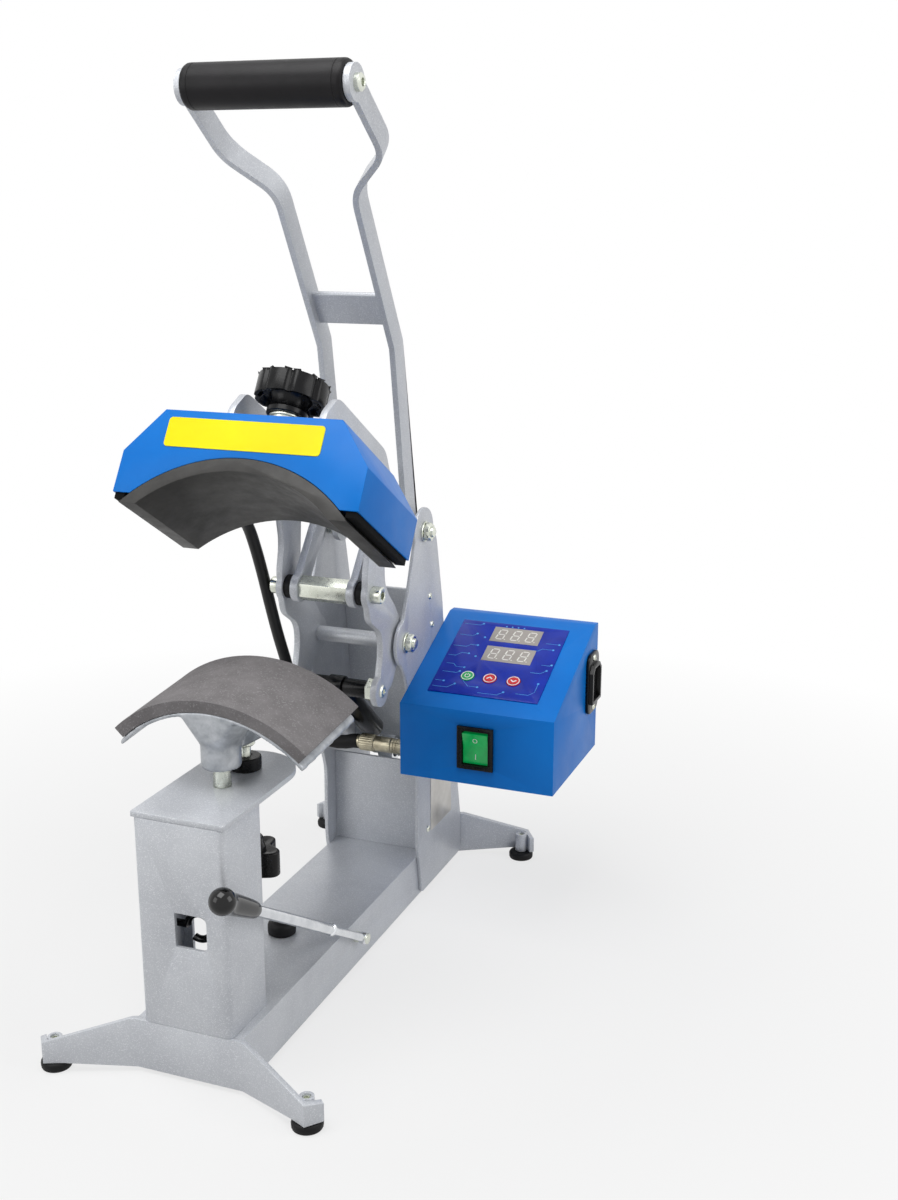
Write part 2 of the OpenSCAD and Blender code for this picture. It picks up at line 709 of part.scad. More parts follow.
module lever_knob() here() color("#101010") at_lever() translate([0, -lever_l, 0]) difference() {
    union() {
        translate([0, lever_ball_r, 0]) sphere(r = lever_ball_r);
        translate([0, lever_ball_r, 0]) rotate([-90, 0, 0]) cylinder(r1 = lever_ball_r, r2 = 6.5, h = 20);
        translate([0, lever_ball_r + 20, 0]) rotate([-90, 0, 0])
            cylinder(r1 = 6.5, r2 = 5.2, h = sleeve_l - lever_ball_r - 20);
    }
    translate([0, 16, 0]) rotate([-90, 0, 0]) cylinder(d = lever_d, h = sleeve_l);
}

// Shaft through the beam, with the short crank that it turns inside
module lever_shaft() here() color("gainsboro") {
    rod_x(lever_shaft_d, -beam_half - 6, lever_x + lever_d / 2, [lever_y, lever_z]);
    rod_x(14, -beam_half - 6, -beam_half - face_gap, [lever_y, lever_z]);
    translate([0, lever_y, lever_z]) side(8, 5) flat_bar([0, 0], [-20, 0], 14);
}

// Arm plates: lower lobe at the spring bar, stem, and the wide part along the head
module arm_outline() {
    polygon([joint + [-9, -1], joint + [-5, -20], [238, 249], [240, 233], [233, 209], spring_pt + [-10, 1],
        spring_pt + [9, -4], [256, 202], pivot + [-4, -12], pivot + [8, 9], [262, 265], [253, 274],
        [245, 285], joint + [22, 18], head_pt(150, 8), head_pt(205, 3), head_pt(205, 13), head_pt(150, 22),
        head_pt(135, 33.5), head_pt(48, 33.5), head_pt(41, 32), head_pt(30, 16), head_pt(30, bridge_u[0]),
        head_pt(hood_d + 8.5, bridge_u[0]), joint + [-4, 34], joint + [-9, 14]]);
}

module arm_plate(x) difference() {
    union() {
        side(x, arm_t) arm_outline();
        rod_x(12, x, x + arm_t, head_pt(206, 8));
        rod_x(2 * pivot_boss_r, x, x + arm_t, pivot);
        rod_x(24, x, x + arm_t, spring_pt);
        rod_x(2 * joint_boss_r, x, x + arm_t, joint);
    }
    rod_x(shaft_d + 2 * run, x - 1, x + arm_t + 1, pivot);
    for (p = [joint, spring_pt]) rod_x(shaft_d, x - 1, x + arm_t + 1, p);
}

module arm_plate_left() here() color("silver") arm_plate(-arm_out);
module arm_plate_right() here() color("silver") arm_plate(arm_x);

module hex_spacer() here() color("#dce1cd") difference() {
    translate([-link_x + face_gap, joint.x, joint.y]) rotate([0, 90, 0])
        cylinder(d = hex_af / cos(30), h = 2 * (link_x - face_gap), $fn = 6);
    rod_x(shaft_d, -link_x, link_x, joint);
}

// Cap screws through the arm plates into the spacer, and the small ones of the spring bar
module joint_bolts() here() color("gainsboro") for (s = [0, 1]) mirror([s, 0, 0]) {
    difference() {
        rod_x(bolt_head_d, arm_out, arm_out + bolt_head_h, joint);
        nut_x(6, arm_out + bolt_head_h - 4, 5, joint);
    }
    rod_x(shaft_d, 6, arm_out, joint);
    rod_x(10, arm_out, arm_out + 1.7, spring_pt);
}

module link_bushings() here() color("#111111") for (s = [0, 1]) mirror([s, 0, 0]) difference() {
    union() {
        rod_x(bush_d, link_x - face_gap, link_out + face_gap, joint);
        rod_x(bush_flange_d, link_out + face_gap, arm_x, joint);
    }
    rod_x(shaft_d, link_x - 1, arm_x + 1, joint);
}

module hinge_tube() here() color("silver") difference() {
    rod_x(tube_d, -arm_x, arm_x, pivot);
    rod_x(shaft_d + 2 * run, -arm_x - 1, arm_x + 1, pivot);
}

gas_eye_half = 6;
module spring_bar() here() color("#1a1a1a") {
    rod_x(shaft_d, -arm_out, arm_out, spring_pt);
    for (s = [0, 1]) mirror([s, 0, 0]) rod_x(14, gas_eye_half + face_gap, arm_x, spring_pt);
}

// Bridge between the arm plates that carries the pressure screw
lift_gap = 0.6;
bridge_t = 4.4;
bridge_u = [press_travel + lift_gap, press_travel + lift_gap + bridge_t];
bridge_l = 28;
guide_x = 22;
guide_d = 8;
knob_s = 45;
knob_u = 28;
module head_bridge() here() color("silver") head() difference() {
    translate([-arm_x, knob_s - bridge_l / 2, bridge_u[0]]) cube([2 * arm_x, bridge_l, bridge_u[1] - bridge_u[0]]);
    rod_z(press_d + 2 * run, 0, 30, [0, knob_s]);
    for (x = [-guide_x, guide_x]) rod_z(guide_d + 2 * run, 0, 30, [x, knob_s]);
}

// Toggle links and their pin
module toggle_links() here() color("silver") both_sides(link_x, link_t) difference() {
    union() {
        flat_bar(joint, crank, link_w);
        translate(joint) circle(joint_boss_r);
        translate(crank) circle(joint_boss_r);
    }
    translate(joint) circle(d = bush_d + 2 * run);
    translate(crank) circle(d = shaft_d);
}

module link_pin() here() color("gainsboro") {
    rod_x(shaft_d, -link_out, link_out, crank);
    rod_x(14, -link_x, link_x, crank);
}

// Handle
ear_start = splay + [-20, 25];
module handle_bar_low() side(bar_x, bar_t) difference() {
    union() {
        flat_bar(top, bend, bar_w);
        flat_bar(bend, splay, bar_w);
        flat_bar(top, crank, bar_w);
        translate(top) circle(top_boss_r);
        translate(crank) circle(joint_boss_r);
    }
    translate(top) circle(d = shaft_d + 2 * run);
}

module bar_slice(x, p) { side(x, bar_t) translate(p) rotate(heading(splay, ear_start)) translate([-0.5, -bar_w / 2]) square([1, bar_w]); }

module handle_bars() here() color("silver") for (s = [0, 1]) mirror([s, 0, 0]) {
    handle_bar_low();
    hull() {
        bar_slice(bar_x, splay);
        bar_slice(ear_x + face_gap, ear_start);
    }
    side(ear_x + face_gap, bar_t) difference() {
        union() {
            flat_bar(ear_start, grip, bar_w);
            translate(grip) circle(12);
        }
        translate(grip) circle(d = grip_shaft_d);
    }
}

brace_k = [along(bend, splay, 0.155), along(bend, splay, 0.155) + turned([brace_h, 0], heading(bend, splay))];
module handle_brace() here() color("silver") side(-bar_x, 2 * bar_x) hull()
    for (p = brace_k) translate(p) circle(d = bar_t, $fn = 32);

module handle_grip() here() color("#161616") difference() {
    rod_x(grip_d, -ear_x, ear_x, grip);
    rod_x(grip_shaft_d, -ear_x - 1, ear_x + 1, grip);
}

module grip_fixings() here() color("gainsboro") {
    rod_x(grip_shaft_d, -ear_out - face_gap, ear_out + face_gap, grip);
    for (s = [0, 1]) mirror([s, 0, 0]) difference() {
        rod_x(12, ear_out + face_gap, ear_out + face_gap + 4, grip);
        nut_x(5, ear_out + face_gap + 2, 3, grip);
    }
}

// Head, in its own frame: x across, y back, z up from the hood's top
element_r = platen_r + press_gap;
hood_arc_r = element_r + element_t + 0.4;
arc_u = -crown_drop - element_r;
element_u = -crown_drop - element_drop;
module hood_outline(g, low) {
    half = hood_w / 2 - g;
    polygon([[-hood_top_w / 2, -g], [hood_top_w / 2, -g], [half, -shoulder_h], [half, -low],
        [-half, -low], [-half, -shoulder_h]]);
}

// Where the cable leaves the head's rear: distance from the head's front and height
cable_exit = turned([cable_path[0].y, cable_path[0].z] - head_o, head_pitch);
notch_w = cable_d + 4 * loose;

module head_hood() here() color("#0078d7") head() difference() {
    along_y(0, hood_d) hood_outline(0, hood_h);
    along_y(hood_t, hood_d - 2 * hood_t) hood_outline(hood_t, hood_h + 1);
    along_y(-1, hood_d + 2) translate([0, arc_u]) circle(hood_arc_r, $fn = 180);
    along_y(hood_d - hood_t - 1, hood_t + 2)
        translate([cable_path[0].x - notch_w / 2, cable_exit.y - notch_w]) square([notch_w, 1.5 * notch_w]);
    rod_z(press_d + 2, -hood_t - 1, 1, [0, knob_s]);
    for (x = [-guide_x, guide_x]) rod_z(guide_d, -hood_t - 1, 1, [x, knob_s]);
}

// Dark strips that show under the hood's sides, clear of the element's ends
strip_t = 7.5;
strip_h = 16;
strip_x = hood_w / 2 - hood_t - strip_t;
strip_u = arc_u + sqrt(pow(element_r + element_t, 2) - pow(strip_x, 2)) + face_gap;
module side_insulation() here() color("#0c0c0c") head() for (s = [0, 1]) mirror([s, 0, 0])
    translate([strip_x, hood_t, strip_u]) cube([strip_t, hood_d - 2 * hood_t, strip_h]);

module heating_element() here() color("#4b4b48") head() {
    along_y(0, element_l) intersection() {
        translate([0, arc_u]) difference() {
            circle(element_r + element_t, $fn = 180);
            circle(element_r, $fn = 180);
        }
        translate([-hood_w / 2, element_u]) square([hood_w, hood_h + 20]);
    }
    for (x = [-guide_x, guide_x], y = [20, element_l - 20]) rod_z(10, -crown_drop + 2, -hood_t - 5, [x, y]);
}

// Steel plate under the hood's top, with the two guide pins
module head_carrier() here() color("gainsboro") head() difference() {
    union() {
        translate([-50, 12, -hood_t - 5]) cube([100, hood_d - 26, 5]);
        for (x = [-guide_x, guide_x]) rod_z(guide_d, -hood_t - 3, bridge_u[1] + 3, [x, knob_s]);
    }
    rod_z(press_d + 2 * run, -20, 0, [0, knob_s]);
}

module front_plate() here() color("#ffe800") head() translate([-60.6, -0.5, -26.5]) cube([115.6, 0.5, 21]);

// Lobed pressure knob on its screw, with a washer and a collar that rests on the bridge
hub_d = 26.5;
hub_u = 17.5;
module pressure_knob() here() color("#141414") head() translate([0, knob_s, 0]) difference() {
    union() {
        rod_z(knob_r * 1.66, knob_u, knob_u + knob_h);
        for (a = [0:45:315]) rotate(a) rod_z(knob_r * 0.36, knob_u, knob_u + knob_h - 2, [knob_r * 0.82, 0]);
        rod_z(hub_d, hub_u, knob_u);
        rod_z(hub_d + 2.5, hub_u, hub_u + 4.5);
    }
    rod_z(press_d, hub_u - 1, knob_u + knob_h - 5);
}

module pressure_screw() here() color("gainsboro") head() translate([0, knob_s, 0]) {
    rod_z(press_d, -hood_t - 11, knob_u + knob_h - 5);
    rod_z(hub_d - 2.5, hub_u - 1.8, hub_u);
    rod_z(press_d + 8, bridge_u[1] + face_gap, hub_u - 1.8);
    rod_z(press_d + 8, -hood_t - 11, -hood_t - 5 - face_gap);
}

// Gas spring, drawn along Y from its upper eye
gas_open = norm(anchor - spring_pt);
module at_gas() { translate([0, spring_pt.x, spring_pt.y]) rotate([heading(spring_pt, anchor), 0, 0]) children(); }
module gas_cylinder() here() color("#161616") at_gas() difference() {
    union() {
        translate([0, 7, 0]) rotate([-90, 0, 0]) cylinder(d = gas_d, h = gas_l - 7);
        rod_x(17, -gas_eye_half, gas_eye_half, [0, 0]);
    }
    rod_x(shaft_d + 2 * run, -20, 20, [0, 0]);
    translate([0, 26, 0]) rotate([-90, 0, 0]) cylinder(d = gas_rod_d + 2 * run, h = gas_l);
}

anchor_play = 3.5;
module gas_rod() here() color("gainsboro") at_gas() difference() {
    union() {
        translate([0, 58, 0]) rotate([-90, 0, 0]) cylinder(d = gas_rod_d, h = gas_open - 58 - 9);
        rod_x(22, -gas_eye_half, gas_eye_half, [gas_open, 0]);
    }
    rod_x(shaft_d + 2 * anchor_play, -20, 20, [gas_open, 0]);
}

// Tube with flat ends along a list of points
cable_n = 10;
function unit(v) = v / norm(v);
function tangent(p, i) = unit(p[min(i + 1, len(p) - 1)] - p[max(i - 1, 0)]);
module tube_along(p, d) {
    last = len(p) - 1;
    rings = [for (i = [0:last]) let (t = i == last ? [1, 0, 0] : tangent(p, i), u = unit(cross(t, [0, 0.6, 0.8])), v = cross(t, u))
        for (k = [0:cable_n - 1]) p[i] + d / 2 * (cos(k * 360 / cable_n) * u + sin(k * 360 / cable_n) * v)];
    sides = [for (i = [0:last - 1], k = [0:cable_n - 1]) let (a = i * cable_n + k, b = i * cable_n + (k + 1) % cable_n)
        [a, b, b + cable_n, a + cable_n]];
    polyhedron(rings, concat(sides, [[for (k = [cable_n - 1:-1:0]) k], [for (k = [0:cable_n - 1]) last * cable_n + k]]));
}
module heater_cable() here() color("#0a0a0a") tube_along(cable_path, cable_d);

base_beam();
front_foot_bar();
rear_foot_bar();
rubber_feet();
post_tube();
post_deck();
post_hook();
rubber_bumper();
column_plate_left();
column_plate_right();
column_back_cover();
pivot_shafts();
shaft_nuts();
box_shell();
box_cover();
circuit_board();
key_panel();
display_windows();
rocker_frame();
power_inlet();
heater_socket();
heater_plug();
rating_plate();
platen_pin();
platen_screw();
platen_casting();
platen_pad();
ring_nut();
star_knob();
lever_rod();
lever_knob();
lever_shaft();
arm_plate_left();
arm_plate_right();
hex_spacer();
joint_bolts();
link_bushings();
hinge_tube();
spring_bar();
head_bridge();
toggle_links();
link_pin();
handle_bars();
handle_brace();
handle_grip();
grip_fixings();
head_hood();
side_insulation();
heating_element();
head_carrier();
front_plate();
pressure_knob();
pressure_screw();
gas_cylinder();
gas_rod();
rocker();
key_start();
key_up();
key_down();
heater_cable();
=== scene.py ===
import json
import math
import bmesh
import bpy
from mathutils import Matrix, Vector


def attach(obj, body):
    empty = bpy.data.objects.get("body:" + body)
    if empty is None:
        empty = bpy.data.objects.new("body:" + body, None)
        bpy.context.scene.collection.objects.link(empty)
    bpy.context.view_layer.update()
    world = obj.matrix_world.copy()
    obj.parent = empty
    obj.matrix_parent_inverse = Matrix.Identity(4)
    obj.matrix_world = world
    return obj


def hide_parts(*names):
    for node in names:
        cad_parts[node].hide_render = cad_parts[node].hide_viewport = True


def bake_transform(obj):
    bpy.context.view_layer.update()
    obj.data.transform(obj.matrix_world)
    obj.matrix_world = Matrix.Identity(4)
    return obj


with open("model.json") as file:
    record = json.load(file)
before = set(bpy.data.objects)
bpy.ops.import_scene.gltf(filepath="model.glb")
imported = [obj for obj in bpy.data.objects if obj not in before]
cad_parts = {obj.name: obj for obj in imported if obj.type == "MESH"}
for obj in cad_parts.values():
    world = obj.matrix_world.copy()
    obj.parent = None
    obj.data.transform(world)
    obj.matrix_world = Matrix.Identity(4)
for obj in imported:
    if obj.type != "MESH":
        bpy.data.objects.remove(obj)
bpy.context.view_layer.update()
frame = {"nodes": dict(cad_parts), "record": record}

# Places

# Points below are measured in millimetres from the middle of the base's front, 5 mm under the floor
FLOOR = 5.0
OFFSET = Vector((-32.847452, -192.112986, -FLOOR))
ORIGIN = Vector((0, 0, 0))
RIGHT, REAR, UP = (1, 0, 0), (0, 1, 0), (0, 0, 1)

# The control box: its lower front corner, its right wall, and its heights and depths from the side
BOX_X, BOX_Y, BOX_Z = 42.5, 258.9, 132.6
BOX_RIGHT = 167.8
BOX_FRONT_H, BOX_REAR_H = 59.6, 105.7
BOX_D, BOX_TOP_D = 116.6, 9.5

# Axes that run across the press: lower and top shafts of the column, arm joint, spring bar and grip
PIVOT_Y, PIVOT_Z = 272.9, 236.6
TOP_Y, TOP_Z = 311.5, 317.0
JOINT_Y, JOINT_Z = 222.5, 287.5
SPRING_Y, SPRING_Z = 237, 207.5
GRIP_Y, GRIP_Z = 153.5, 640.7

# The platen's upright screw: its place and the height of its foot
SCREW_Y, SCREW_Z = 90.7, 118

# How far the open head leans back, and the slope of the box's panel
PITCH = math.radians(32)
SLOPE = math.atan2(BOX_REAR_H - BOX_FRONT_H, BOX_D - BOX_TOP_D)


def mm(x, y, z):
    """A point given in millimetres, in the part's frame."""
    return (Vector((x, y, z)) + OFFSET) / 1000


def tilted(x, y, z, angle):
    """A frame whose origin is that point and which is turned by an angle about X."""
    return Matrix.Translation(mm(x, y, z)) @ Matrix.Rotation(angle, 4, "X")


# The frames of the head's front edge, the keypad and the side lever's shaft
HEAD = tilted(0, 117.7826, 433.5387, -PITCH)
PANEL = tilted(0, BOX_Y, BOX_Z + BOX_FRONT_H, SLOPE)
LEVER = tilted(46, 178, 31, math.radians(-31.9))

BODY = {n: b for b, names in frame["record"]["behaviour"]["bodies"].items() for n in names}
SLOT = {p["node"]: p["material_slot"] for p in frame["record"]["subparts"]}

# Camera

# The focal length was fitted in the photograph's pixels, in a frame 1200 px high
FOCAL_PX, FRAME_PX = 1482.7, 1200
SENSOR = 36
camera = bpy.data.objects.new("photo_camera", bpy.data.cameras.new("photo_camera"))
bpy.context.scene.collection.objects.link(camera)
camera.location = mm(472.8, -741.0, 575.7)
camera.rotation_euler = (math.radians(90 - 15.47), 0, math.radians(21.27))
camera.data.lens = FOCAL_PX * SENSOR / FRAME_PX
camera.data.sensor_width = SENSOR
camera.data.clip_start, camera.data.clip_end = 0.05, 30
bpy.context.scene.camera = camera
bpy.context.scene.view_settings.view_transform = "Standard"

# Colours and finishes


def linear(colour):
    """An sRGB hex colour as linear RGBA."""
    parts = [int(colour[i : i + 2], 16) / 255 for i in (1, 3, 5)]
    return tuple(c / 12.92 if c <= 0.04045 else ((c + 0.055) / 1.055) ** 2.4 for c in parts) + (1.0,)


def add(tree, kind, inputs=(), **settings):
    """Adds a node; inputs pairs each socket with its value or with the output that feeds it."""
    node = tree.nodes.new(kind)
    for key, value in settings.items():
        setattr(node, key, value)
    for socket, value in dict(inputs).items():
        if isinstance(value, bpy.types.NodeSocket):
            tree.links.new(value, node.inputs[socket])
        else:
            node.inputs[socket].default_value = value
    return node


def finish(name, dark, light, patch, rough, grain, relief, shader=(), stretch=(1, 1, 1), fleck=None):
    """A surface that drifts between two colours over patch mm, with a relief of grain mm.

    Its roughness runs from rough[0] to rough[1]. stretch draws the grain out along an axis, and
    fleck adds bright specks: (size in mm, colour, share)."""
    material = bpy.data.materials.new(name)
    material.use_nodes = True
    tree = material.node_tree
    tree.nodes.clear()
    place = add(tree, "ShaderNodeTexCoord").outputs["Object"]
    drift = add(tree, "ShaderNodeTexNoise",
                {"Vector": place, "Scale": 1000 / patch, "Detail": 4.0, "Roughness": 0.6})
    ramp = add(tree, "ShaderNodeMapRange", {"Value": drift.outputs[0], "From Min": 0.32, "From Max": 0.68})
    shade = add(tree, "ShaderNodeMix", {0: ramp.outputs[0], 6: linear(dark), 7: linear(light)},
                data_type="RGBA").outputs[2]
    if fleck:
        cells = add(tree, "ShaderNodeTexVoronoi", {"Vector": place, "Scale": 1000 / fleck[0]})
        split = add(tree, "ShaderNodeSeparateColor", {"Color": cells.outputs["Color"]})
        some = add(tree, "ShaderNodeMapRange",
                   {"Value": split.outputs[0], "From Min": 1 - fleck[2], "From Max": 1.0})
        shade = add(tree, "ShaderNodeMix", {0: some.outputs[0], 6: shade, 7: linear(fleck[1])},
                    data_type="RGBA").outputs[2]
    worn = add(tree, "ShaderNodeTexNoise",
               {"Vector": place, "Scale": 2200 / patch, "Detail": 6.0, "Roughness": 0.7})
    sheen = add(tree, "ShaderNodeMapRange",
                {"Value": worn.outputs[0], "From Min": 0.3, "From Max": 0.7,
                 "To Min": rough[0], "To Max": rough[1]})
    drawn = add(tree, "ShaderNodeMapping", {"Vector": place, "Scale": stretch})
    bumps = add(tree, "ShaderNodeTexNoise",
                {"Vector": drawn.outputs[0], "Scale": 1000 / grain, "Detail": 3.0})
    bump = add(tree, "ShaderNodeBump",
               {"Height": bumps.outputs[0], "Strength": 0.8, "Distance": relief / 1000})
    surface = add(tree, "ShaderNodeBsdfPrincipled",
                  {"Base Color": shade, "Roughness": sheen.outputs[0], "Normal": bump.outputs[0],
                   **dict(shader)})
    add(tree, "ShaderNodeOutputMaterial", {"Surface": surface.outputs[0]})
    return material


# Silver powder coat on steel: soft grey with fine metal flakes and a slight orange peel
silver = finish("silver_powder_coat", "#c0c3c9", "#cccfd4", 45, (0.36, 0.5), 1.4, 0.05,
                {"Metallic": 0.3}, fleck=(0.5, "#e2e4e8", 0.25))
# Blue powder coat on steel: even satin blue with a close orange peel
blue = finish("blue_powder_coat", "#0070cc", "#0079d6", 60, (0.36, 0.46), 0.9, 0.045,
              {"Specular IOR Level": 0.22})
# Bright zinc plate: pale metal with a faint yellow-green cast, drawn along the bar
zinc = finish("bright_zinc_plate", "#cfd2c6", "#e0e3d8", 12, (0.2, 0.36), 0.5, 0.02, {"Metallic": 1.0})
# Drawn chrome rod: clean and smooth, with fine lines round it
chrome = finish("drawn_chrome_rod", "#cfd2d6", "#e6e8ea", 20, (0.1, 0.18), 0.4, 0.006, {"Metallic": 1.0})
# Tumbled aluminium casting: matt grey metal with a pebbled skin
casting_metal = finish("tumbled_cast_aluminium", "#94989d", "#babdc1", 9, (0.38, 0.55), 1.6, 0.12,
                       {"Metallic": 0.85})
# Non-stick coating on the heating shell: smoky dark grey with a dull sheen and wipe marks
coating = finish("nonstick_coating", "#2b2a29", "#444341", 30, (0.42, 0.62), 1.0, 0.03,
                 {"Specular IOR Level": 0.35}, stretch=(1, 0.25, 1))
# Closed-cell silicone sponge: mid grey and matt, with a fine open texture
sponge = finish("silicone_sponge", "#757273", "#858283", 18, (0.82, 0.95), 0.7, 0.16,
                {"Specular IOR Level": 0.2}, fleck=(0.8, "#929091", 0.18))
# Moulded rubber: near black and matt, with a faint bloom
rubber = finish("moulded_black_rubber", "#080809", "#111113", 16, (0.48, 0.62), 0.6, 0.04,
                {"Specular IOR Level": 0.22})
# Foam grip sleeve: black satin skin, drawn out along the grip
grip_skin = finish("black_grip_sleeve", "#0c0b0d", "#161417", 22, (0.36, 0.46), 0.5, 0.05,
                   {"Specular IOR Level": 0.2}, stretch=(0.12, 1, 1))
# Glass-filled nylon moulding: black with a soft gloss and a fine spark texture
nylon = finish("black_nylon_moulding", "#060607", "#0e0e10", 14, (0.2, 0.32), 0.45, 0.02,
               {"Specular IOR Level": 0.22})
# Polished phenolic ball: jet black and glassy
phenolic = finish("polished_phenolic", "#040405", "#080809", 20, (0.06, 0.12), 3.0, 0.004,
                  {"Specular IOR Level": 0.4})
# Gloss black paint on the gas spring's tube
tube_paint = finish("gloss_black_paint", "#060607", "#0c0c0e", 15, (0.18, 0.28), 1.2, 0.015,
                    {"Specular IOR Level": 0.3})
# Vinyl film, plain yellow, with a low gloss
vinyl = finish("yellow_vinyl_film", "#fae800", "#fff200", 40, (0.28, 0.36), 2.5, 0.008,
               {"Specular IOR Level": 0.2})
# Mica and glass board that lines the head's sides, black and dull
lining = finish("black_insulation_board", "#050505", "#0d0d0d", 8, (0.8, 0.92), 0.8, 0.08,
                {"Specular IOR Level": 0.15})
# Polyester keypad film, deep blue and glossy with a print behind it
film = finish("blue_keypad_film", "#00229a", "#062fae", 16, (0.16, 0.24), 0.5, 0.006,
              {"Specular IOR Level": 0.25})
# Pale blue ink lines of the keypad's print
ink = finish("pale_blue_ink", "#2f8fe0", "#56b4f0", 10, (0.25, 0.32), 0.6, 0.004)
# White ink of the key rings and the switch's marks
white_ink = finish("white_ink", "#dedfe4", "#f2f3f5", 10, (0.3, 0.4), 0.6, 0.004)
# Smoked grey lens over the displays
lens = finish("smoked_display_lens", "#a09a94", "#aea8a2", 25, (0.12, 0.18), 1.5, 0.003)
# Unlit display segments, milky epoxy behind the lens
segment = finish("milky_segments", "#dcd9d4", "#ecebe7", 6, (0.2, 0.3), 1.0, 0.003)
# Green translucent rocker, lit from inside by its lamp
lamp_green = finish("lit_green_rocker", "#008a44", "#00b45c", 11, (0.16, 0.22), 1.0, 0.006,
                    {"Emission Color": linear("#00a850"), "Emission Strength": 0.25})
# Green and red print on the keys, under a clear film
key_green = finish("green_key_print", "#159b4e", "#2bb865", 6, (0.2, 0.28), 0.6, 0.006)
key_red = finish("red_key_print", "#c2121f", "#d8222c", 6, (0.2, 0.28), 0.6, 0.006)
# Nickel-plated brass connector, dull and a little yellow
nickel = finish("nickel_plated_brass", "#968f7c", "#bdb69f", 7, (0.24, 0.4), 0.5, 0.02, {"Metallic": 1.0})
# Glass-fibre circuit board with its solder mask
board = finish("green_circuit_board", "#0f5a2c", "#1a7a3e", 9, (0.3, 0.4), 0.7, 0.02)
# Plain anodised name plate, brushed along its length
plate_metal = finish("brushed_anodised_plate", "#c4c1bb", "#d8d5d0", 20, (0.3, 0.42), 0.3, 0.02,
                     {"Metallic": 0.7}, stretch=(1, 0.06, 1))
# Glossy black cable sheath
sheath = finish("black_cable_sheath", "#060607", "#101012", 12, (0.34, 0.46), 0.8, 0.03,
                {"Specular IOR Level": 0.3})

# The finish of the solids that keep their shape, by their material slot
BY_SLOT = {
    "silver_paint": silver, "blue_paint": blue, "zinc_steel": zinc, "element_face": coating,
    "black_rubber": rubber, "black_plastic": nylon, "gloss_black": phenolic, "insulation": lining,
    "panel_film": film, "display_lens": lens, "green_lens": lamp_green, "bare_plate": plate_metal}

# Modelling tools


def only(piece):
    """Selects that object alone and makes it the active one."""
    bpy.ops.object.select_all(action="DESELECT")
    piece.select_set(True)
    bpy.context.view_layer.objects.active = piece
    return piece


def modified(piece, kind, **settings):
    """Adds a modifier and applies it."""
    only(piece)
    modifier = piece.modifiers.new(kind, kind)
    for key, value in settings.items():
        setattr(modifier, key, value)
    bpy.ops.object.modifier_apply(modifier=modifier.name)
    return piece


def rounded(piece, edge, segments=2, angle=35):
    """Rounds the piece's sharp edges by that many millimetres."""
    return modified(piece, "BEVEL", width=edge / 1000, segments=segments, limit_method="ANGLE",
                    angle_limit=math.radians(angle), miter_outer="MITER_ARC")


def dressed(piece, name, body, material, stands_for=(), place=None, smooth=35):
    """Puts a finished piece at its place, with its finish, on its body."""
    if place is not None:
        piece.matrix_world = place @ piece.matrix_world
    only(piece)
    bpy.ops.object.transform_apply(location=True, rotation=True, scale=True)
    bpy.ops.object.shade_smooth_by_angle(angle=math.radians(smooth))
    piece.name = piece.data.name = name
    piece.data.materials.clear()
    piece.data.materials.append(material)
    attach(piece, body)
    if stands_for:
        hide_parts(*stands_for)
    return piece


def taken(node):
    """A copy of a CAD solid as one merged mesh."""
    piece = frame["nodes"][node].copy()
    piece.data = piece.data.copy()
    piece.parent = None
    for key in list(piece.keys()):
        del piece[key]
    bpy.context.scene.collection.objects.link(piece)
    piece.data.materials.clear()
    only(piece)
    bpy.ops.mesh.customdata_custom_splitnormals_clear()
    bpy.ops.object.mode_set(mode="EDIT")
    bpy.ops.mesh.select_all(action="SELECT")
    bpy.ops.mesh.remove_doubles(threshold=0.00001)
    bpy.ops.mesh.dissolve_limited(angle_limit=math.radians(0.4))
    bpy.ops.object.mode_set(mode="OBJECT")
    return piece


def faced_outwards(piece):
    """Turns every face of a closed piece outwards."""
    only(piece)
    bpy.ops.object.mode_set(mode="EDIT")
    bpy.ops.mesh.select_all(action="SELECT")
    bpy.ops.mesh.normals_make_consistent(inside=False)
    bpy.ops.object.mode_set(mode="OBJECT")
    return piece


def outline_rounded(piece, radius):
    """Rounds each corner of a plate's outline, the plate standing across X, by up to radius millimetres."""
    only(piece)
    bpy.ops.object.mode_set(mode="EDIT")
    bpy.ops.mesh.select_mode(type="EDGE")
    mesh = bmesh.from_edit_mesh(piece.data)
    corners = []
    for edge in mesh.edges:
        along = edge.verts[1].co - edge.verts[0].co
        if abs(along.normalized().x) > 0.99 and edge.is_manifold and 0.2 < edge.calc_face_angle() < 2.2:
            wide = min(f.calc_area() / along.length for f in edge.link_faces)
            corners.append(((edge.verts[0].co + edge.verts[1].co) / 2, min(radius / 1000, wide * 0.42)))
    for middle, reach in corners:
        bpy.ops.mesh.select_all(action="DESELECT")
        mesh = bmesh.from_edit_mesh(piece.data)
        edge = min(mesh.edges, key=lambda e: ((e.verts[0].co + e.verts[1].co) / 2 - middle).length)
        edge.select_set(True)
        bmesh.update_edit_mesh(piece.data)
        bpy.ops.mesh.bevel(offset=reach, segments=5)
    bpy.ops.object.mode_set(mode="OBJECT")
    return piece


def softened(node, edge, material=None):
    """The CAD solid with its edges rounded, dressed in its slot's finish."""
    piece = taken(node)
    if node in ("arm_plate_left", "arm_plate_right", "column_plate_left", "column_plate_right"):
        outline_rounded(piece, 7)
    if edge:
        rounded(piece, edge)
    material = material or BY_SLOT[SLOT[node]]
    return dressed(piece, node + "_finished", BODY[node], material, [node])


def ring_point(a, radius, sides):
    """A point of a round ring, or of a polygon whose flats are that far from the middle."""
    if sides:
        half = math.pi / sides
        radius /= math.cos((a + half) % (2 * half) - half)
    return radius / 1000 * math.cos(a), radius / 1000 * math.sin(a)


